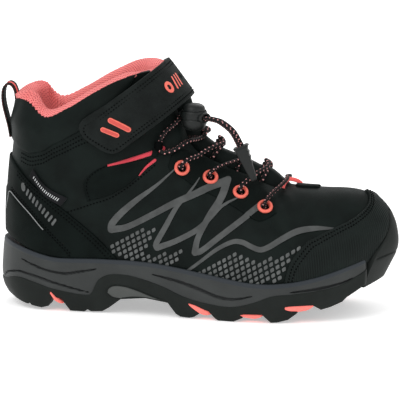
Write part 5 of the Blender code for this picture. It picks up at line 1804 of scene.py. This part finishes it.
def build_strap():
    """The ankle strap: two halves, their stitches, the tab's bars and the badge."""
    free, sewn = strap_band()
    strap_sheet("strap_free_half", free, (-0.9, 1.0), FELT, LATERAL, edge=0.8, step=1.7, relief=strap_relief,
                replaces=("strap_bridge", "strap_tab"), slot="strap_webbing")
    strap_sheet("strap_sewn_half", sewn, (-0.9, 1.0), FELT, MEDIAL, edge=0.8, step=1.9, relief=strap_relief,
                replaces=("strap_anchor",), slot="strap_webbing")
    for number, inset in enumerate(STITCH_INSETS, start=1):
        for label, start, height in (("top", -30.0, BAND_HIGH - inset), ("bottom", -24.0, STRAP_LOW + inset)):
            row = [(start, height), (STRAP_SPLIT - 2.0, height)]
            blend_strap(strap_stitches(f"strap_stitches_{label}_{number}", row, None), LATERAL)
    strap_stitches("strap_stitches_tab", TAB_STITCHES, "strap_tab")
    for label, start, end, radius in TAB_BARS:
        ends = np.array([start, end]) - [STRAP_LEG_END, 0.0]
        bar, inlay = (stroke(ends, (width, width), 0.8) for width in (2 * radius, 2 * radius - 1.5))
        strap_sheet(f"strap_mark_{label}", bar, (0.8, 2.1), CORAL_GLOSS, "strap_tab", edge=0.8, step=0.8,
                    replaces=(f"strap_bar_{label}",), slot="coral_plastic")
        strap_sheet(f"strap_mark_fill_{label}", inlay, (1.9, 2.25), CORAL_FILL, "strap_tab", edge=0.3, step=0.8,
                    slot="coral_plastic")
    build_badge()


def build_badge():
    """Generic badge on the front of the strap: a disc with a diamond opening and three slanted strokes."""
    centre = BEND_LENGTH * BADGE_PLACE
    finish = {"layer": (0.9, 1.6), "material": CORAL_GLOSS, "hinge": "strap_bridge", "edge": 0.4,
              "slot": "coral_plastic"}
    diamond = straight((centre - 1.1, 0.2), (centre, -1.3), (centre + 1.1, 0.2), (centre, 1.7))
    strap_sheet("badge_disc", circle(32) * [3.5, 4.1] + [centre, 0.2], step=0.9, holes=[diamond],
                replaces=("strap_badge",), **finish)
    for number, shift in enumerate(BADGE_STROKES, start=1):
        ends = [(centre + shift - 0.9, -3.4), (centre + shift + 0.9, 4.0)]
        strap_sheet(f"badge_stroke_{number}", stroke(ends, (1.9, 1.9), 0.8), step=0.8, **finish)


# ---------------------------------------------------------------- small trim

PULL_LOOP = ((-120.2, 104.5), (-121.4, 111.0), (-123.2, 118.0), (-124.8, 124.5), (-125.4, 130.5),
             (-124.6, 135.4), (-122.0, 138.2), (-119.2, 137.2), (-117.4, 133.8), (-116.6, 128.5))
LABEL_CORNERS = ((-100.8, 89.3), (-78.3, 72.2), (-82.5, 67.0), (-102.8, 84.6))
MARK_LINE = ((-108.4, 78.6), (-101.6, 71.6), (-93.8, 63.6), (-85.2, 55.2))
# The label's bars: half their size and their middle, as shares of the label.
BAR_SIZE = (0.0095, 0.16)
BAR_MIDDLE = 0.52


def build_pull_loop():
    """The heel's pull loop, with a row of stitches along both edges of both faces."""
    path = spline([(x, 0.0, z) for x, z in PULL_LOOP], 0.8)
    along = unit(np.gradient(path, axis=0))
    normals = np.column_stack([-along[:, 2], np.zeros(len(path)), along[:, 0]])
    sweep("pull_loop_tape", path, normals, rounded_section(10.5, 1.3, 0.5, 3), PULL_TAPE,
          replaces=("heel_pull_loop",), slot="strap_webbing", sharp=50)
    for face, label in ((1, "outer"), (-1, "inner")):
        for y, edge in ((-4.0, "left"), (4.0, "right")):
            row = path + normals * 0.62 * face + [0.0, y, 0.0]
            stitches(f"pull_loop_stitches_{label}_{edge}", row, normals * face, pitch=2.0, length=1.3,
                     radius=0.24)


def flat_marks(name, rings, layer, material, **options):
    """Flat marks on the lateral side."""
    sheet(name, rings, layer, material, sides=(LATERAL,), edge=0, step=0.8, **options)


def build_label():
    """The woven side label, with a row of plain bars."""
    corners = chart_mm(side(LABEL_CORNERS))
    ring = np.concatenate([spline(ends, 1.0)[:-1] for ends in zip(corners, np.roll(corners, -1, axis=0))])
    sheet("woven_label_patch", [ring], (1.4, 2.15), LABEL, sides=(LATERAL,), edge=0.4, step=1.2,
          replaces=("side_label",), slot="woven_label")
    bars = [patch_bar(*corners, along) for along in np.arange(0.12, 0.86, 0.052)]
    flat_marks("woven_label_marks", bars, (2.1, 2.35), PALE, slot="woven_label")


def patch_bar(a, b, c, d, along):
    """A small bar inside the patch a-b-c-d, at a share along it."""
    def at(u, v):
        top, low = a + (b - a) * u, d + (c - d) * u
        return top + (low - top) * v

    before, after = along - BAR_SIZE[0], along + BAR_SIZE[0]
    upper, lower = BAR_MIDDLE - BAR_SIZE[1], BAR_MIDDLE + BAR_SIZE[1]
    return np.array([at(before, upper), at(after, upper), at(after, lower), at(before, lower)])


def build_heel_marks():
    """Generic marks on the heel band: a disc and a row of leaning bars."""
    line = spline(chart_mm(side(MARK_LINE)), 1.0)
    travel = travel_along(line)
    marks = [at_travel(travel, line, 2.6) + circle(18) * 2.3]
    for reach in np.arange(7.5, travel[-1] - 1.0, 3.1):
        centre = at_travel(travel, line, reach)
        run = unit(at_travel(travel, line, reach + 0.5) - centre)
        lean = (np.array([-run[1], run[0]]) + run * 0.25) * 1.5
        marks.append(stroke([centre - lean, centre + lean], (1.5, 1.5), 0.7))
    flat_marks("heel_band_marks", marks, (1.42, 1.8), DOTS_PAINT)


def build_piping():
    """Silver piping that runs down from the heel's back and along the chevron."""
    spots = join(at_height(0.42, 60.0), at_height(0.6, 66.6), at_height(0.84, 71.6), side(CHEVRON)[1:3])
    path = spline(chart_mm(spots), 0.8) / CHART_SCALE
    for which in SIDES:
        sweep(f"heel_piping_{which}", on_last(which, path, 2.0), last_normal(which, path[:, 0], path[:, 1]),
              circle(10) * 0.3, PIPING, slot="upper_fabric", sharp=60)


def paint_hidden():
    """Procedural materials for the CAD nodes that stay as they are."""
    looks = {"insole_board": BOARD, "heel_counter": STIFF, "toe_puff": STIFF, "strap_hook_patch": FELT,
             "strap_loop_patch": FELT}
    for name, look in looks.items():
        mesh = bpy.data.objects[name].data
        mesh.materials.clear()
        mesh.materials.append(look)


# ---------------------------------------------------------------- scene

CAMERA_AZIMUTH = math.radians(11)
CAMERA_ELEVATION = math.radians(11)
VIEW_WIDTH = 250.8
VIEW_HEIGHT = 67.75
CAMERA_DISTANCE = 2.0
FLOOR_REACH = 3.0
# Soft lights as (name, place in metres, size, power).
LIGHTS = (("key", (-0.5, -1.0, 1.1), 0.9, 6.5), ("fill", (1.2, -0.5, 0.6), 0.9, 2.0),
          ("rim", (0.2, 1.1, 0.9), 0.8, 4.0))


def place_in_scene(name, data, location=(0.0, 0.0, 0.0), facing=None):
    """A new scene object; facing is the direction from what it looks at."""
    placed = bpy.data.objects.new(name, data)
    placed.location = location
    if facing is not None:
        placed.rotation_euler = Vector(facing).to_track_quat("Z", "Y").to_euler()
    bpy.context.scene.collection.objects.link(placed)
    return placed


def build_stage():
    """A plain pale floor."""
    mesh = bpy.data.meshes.new("floor")
    work = bmesh.new()
    bmesh.ops.create_grid(work, x_segments=40, y_segments=40, size=FLOOR_REACH)
    work.to_mesh(mesh)
    work.free()
    paint = Paint("floor_paper", 0.9, 0.1)
    paint.set("Emission Color", (1.0, 1.0, 1.0))
    paint.set("Emission Strength", 0.42)
    mesh.materials.append(paint.done((0.9, 0.9, 0.9)))
    place_in_scene("floor", mesh)


def build_lights():
    """A white surrounding light and three soft lamps."""
    world = bpy.data.worlds.new("studio")
    world.use_nodes = True
    background = world.node_tree.nodes["Background"].inputs
    background["Color"].default_value = (1.0, 1.0, 1.0, 1.0)
    background["Strength"].default_value = 0.8
    bpy.context.scene.world = world
    for name, place, size, power in LIGHTS:
        data = bpy.data.lights.new(name, "AREA")
        data.energy = power
        data.size = size
        place_in_scene(name, data, place, place)


def build_camera():
    """An orthographic camera, turned a little to the toe's side and raised a little."""
    data = bpy.data.cameras.new("camera")
    data.type = "ORTHO"
    data.ortho_scale = VIEW_WIDTH * MM
    target = Vector((SHIFT + [0.0, 0.0, VIEW_HEIGHT]) * MM)
    back = Vector((math.sin(CAMERA_AZIMUTH) * math.cos(CAMERA_ELEVATION),
                   -math.cos(CAMERA_AZIMUTH) * math.cos(CAMERA_ELEVATION), math.sin(CAMERA_ELEVATION)))
    bpy.context.scene.camera = place_in_scene("camera", data, target + back * CAMERA_DISTANCE, back)


build_shell()
build_toe()
build_heel()
build_collar_cover()
build_side_panels()
build_film()
for which in SIDES:
    build_dots(which)
build_midsole()
build_footbed()
build_outsole()
build_inserts()
build_collar()
build_lining()
build_tongue()
build_gusset()
build_eyelets()
build_lace()
build_lace_guides()
build_lock()
build_spring()
build_clip()
build_strap()
build_pull_loop()
build_label()
build_heel_marks()
build_piping()
paint_hidden()
build_stage()
build_lights()
build_camera()
bpy.context.scene.view_settings.view_transform = "Standard"
